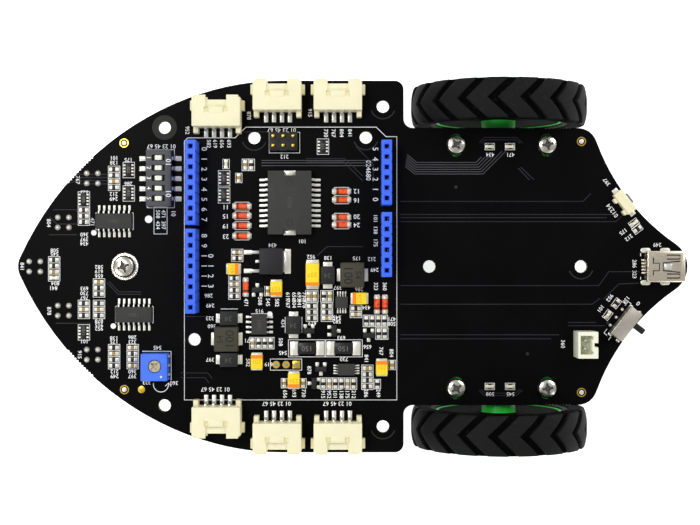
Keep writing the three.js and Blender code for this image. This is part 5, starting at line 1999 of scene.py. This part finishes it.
    def rulers(self) -> list[Label]:
        """Pin numbers beside the headers."""
        labels = []
        low, high = span("header_digital_low")
        labels += [Label(str(i), low.x - 1.15, low.y + 2.54 * (i + 0.5) + 0.3, 1.4, 90) for i in range(8)]
        low, high = span("header_digital_high")
        for i in range(6):
            for order, digit in enumerate(str(i + 8)):
                labels.append(Label(digit, low.x - 1.15 - 1.65 * order, low.y + 2.54 * (i + 0.5) + 0.3, 1.4, 90))
        low, high = span("header_analog")
        labels += [Label(str(5 - i), high.x + 1.45, low.y + 2.54 * (i + 0.5) + 0.3, 1.4, 90) for i in range(6)]
        return labels

    def build(self) -> None:
        """Prints the lines and the numbers."""
        kit = Kit("silkscreen_lines")
        kit.add(INK, strokes(self.outlines() + self.chips.frames(), self.line, self.level, 0.03))
        dots = [Place(65.2, -8.5, self.level), Place(60.3, 15.0, self.level), Place(20.9, 12.0, self.level)]
        kit.add(INK, copied(turned([(0.7, -0.01), (0.68, 0.03), (0.2, 0.035)], 20), dots))
        disc = turned([(0.95, -0.01), (0.92, 0.03), (0.4, 0.04)], 24)
        kit.add(INK, moved(disc, Place(51.4, -11.9, self.level)))
        kit.close()
        texts = [Label(str(101 + 37 * i % 888), x, y, 0.98, turn) for i, (x, y, turn) in enumerate(self.numbers)]
        texts += [
            Label("0", -71.9, 9.3, 1.1, -37.5),
            Label("1", -64.8, 18.0, 1.1, -37.5),
            Label("024680", -3.9, -24.2, 1.2, 90),
            Label("01234", -65.4, -14.1, 1.1, -52.6),
        ]
        spots = ((17.9, -34.4), (34.6, 30.9), (19.2, 34.5), (3.9, 34.5), (48.2, -30.3))
        texts += [Label("01 23 45 67", x, y, 1.05) for x, y in spots] + [Label("10", 45.2, -13.4, 1.1, 90)]
        texts += [Label(str(11 + 4 * i), 32.0, y) for i, y in enumerate((-15.0, -12.7, -10.2, -7.6))]
        texts += [Label(str(12 + 4 * i), -1.0, y) for i, y in enumerate((-19.0, -16.7, -12.6, -10.5))]
        print_kit = Kit("silkscreen_numbers")
        print_kit.add(INK, lettering(texts + self.rulers(), self.level, 0.03))
        print_kit.close()


def main() -> None:
    """Builds the studio and every sub-assembly."""
    logging.basicConfig(level=logging.INFO, format="%(name)s: %(message)s")
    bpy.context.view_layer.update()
    board_low, board_high = span("main_board")
    top, under = board_high.z, board_low.z
    Studio().build()
    Deck(top, under).build()
    for node, pins in (
        ("header_digital_low", 8), ("header_digital_high", 8), ("header_analog", 6), ("header_power", 6)
    ):
        HeaderRow(node, pins, under, 0.7 if pins == 6 and "digital" not in node else 0.55).build()
    SideSocket(tuple(f"socket_{row}_{side}" for row in ("front", "middle", "rear") for side in ("left", "right")), top).build()
    UsbSocket("usb_socket", top).build()
    BatterySocket("battery_socket").build()
    DipSwitch("dip_switch_body", top).build()
    Trimmer().build()
    PowerSwitch().build()
    ResetSwitch().build()
    sensors = ("centre", "inner_left", "inner_right", "outer_left", "outer_right")
    LineSensors(tuple(f"line_sensor_{name}" for name in sensors), top, under).build()
    Caster(top).build()
    for side in ("left", "right"):
        Drive(side, top).build()
    fitted = {
        Package.QUAD: (Place(60.0, -11.4), Place(55.0, 12.1)),
        Package.OCTAL: (Place(23.5, 14.6, turn=90),),
        Package.MINI_EIGHT: (Place(2.8, 9.0),),
        Package.MINI_TEN: (Place(1.6, 25.9, turn=90),),
        Package.POWER: (Place(15.8, -16.0, turn=90),),
    }
    GullWingChips(top, fitted).build()
    rows = (
        Row(67.7, -14.6, "nrrr"), Row(67.7, 10.8, "rcr"), Row(67.7, 16.6, "n"), Row(75.2, 0.6, "rrcl"),
        Row(63.9, 5.4, "crr"), Row(63.9, 10.8, "rcr"), Row(60.1, -22.2, "rrcr"), Row(60.1, 22.7, "rcrr"),
        Row(55.4, 22.7, "crrc"), Row(56.4, -24.3, "n"), Row(56.4, -18.4, "n"), Row(29.1, -2.8, "cr"),
        Row(29.8, 5.2, "rcrr"), Row(21.4, 6.2, "c", 90), Row(10.3, 7.5, "cc", 90), Row(10.3, 11.5, "rrr"),
        Row(6.5, 7.5, "rc", 90), Row(6.5, 11.5, "rrc"),
        Row(22.9, 19.3, "crrr", 90), Row(-3.7, 27.9, "crrr"), Row(-5.7, 13.7, "rrrr", 90), Row(-7.3, 16.9, "rr", 90),
        Row(-9.9, 24.8, "c", 90), Row(-6.2, 29.6, "r", 90), Row(17.2, 29.4, "c", 90), Row(12.5, 29.4, "c", 90),
        Row(3.6, 29.5, "rcrrcr", 90), Row(32.4, -22.2, "n"), Row(32.4, -17.9, "n"), Row(7.5, -30.2, "n"),
        Row(28.7, -22.3, "c", 90), Row(26.3, -25.6, "cr", 90), Row(31.9, -25.8, "l", 90), Row(-0.8, 11.3, "rc"),
        Row(-34.5, -30.2, "l"), Row(-39.6, -30.2, "l"), Row(-34.5, 30.2, "l"), Row(-39.6, 30.2, "l"),
        Row(-70.8, -10.9, "l", 37.4), Row(-71.7, -9.4, "r", 37.4), Row(-66.4, 9.3, "r", 52.5),
        Row(-64.2, 12.2, "l", 52.5),
    )
    chips = SmallChips(top, rows)
    chips.build()
    kind = CaseKind
    TwoEndedCases(
        top,
        (
            Fitted(kind.SMALL_CAPACITOR, 30.0, 0.6, 0, "106"), Fitted(kind.LARGE_CAPACITOR, 10.1, 2.0, -90, "337"),
            Fitted(kind.CAPACITOR, 19.2, 5.5, -90, "107"), Fitted(kind.CAPACITOR, -1.7, 8.0, 180, "226"),
            Fitted(kind.CAPACITOR, 24.1, 23.9, 90, "107"), Fitted(kind.CAPACITOR, 14.8, 28.6, -90, "226"),
            Fitted(kind.CAPACITOR, -7.3, 25.4, 90, "107"), Fitted(kind.POWER_DIODE, 6.3, 2.2, 90, "34"),
            Fitted(kind.POWER_DIODE, 31.1, 13.0, 0, "34"), Fitted(kind.POWER_DIODE, 31.1, 23.4, 0, "34"),
            Fitted(kind.POWER_DIODE, 14.9, 14.7, 90, "34"), Fitted(kind.INDUCTOR, 0.1, 2.1, 0, "100"),
            Fitted(kind.INDUCTOR, 31.7, 18.2, 180, "100"), Fitted(kind.SHUNT, 11.5, 20.6, 0, "150"),
            Fitted(kind.SHUNT, 2.3, 20.6, 0, "150"),
        ),
    ).build()
    glass = [Place(27.9, y) for y in (-15.2, -12.8, -10.3, -7.7)] + [
        Place(2.8, y) for y in (-18.9, -16.8, -12.4, -10.5)
    ]
    glass += [Place(26.9, 5.2, turn=90), Place(-6.1, 9.5, turn=90), Place(-8.1, 9.5, turn=90)]
    GlassDiodes(top, tuple(glass)).build()
    Regulators(top).build()
    Silkscreen(top, chips, tuple((place.x, place.y) for place in glass[:8])).build()


if __name__ == "__main__":
    main()
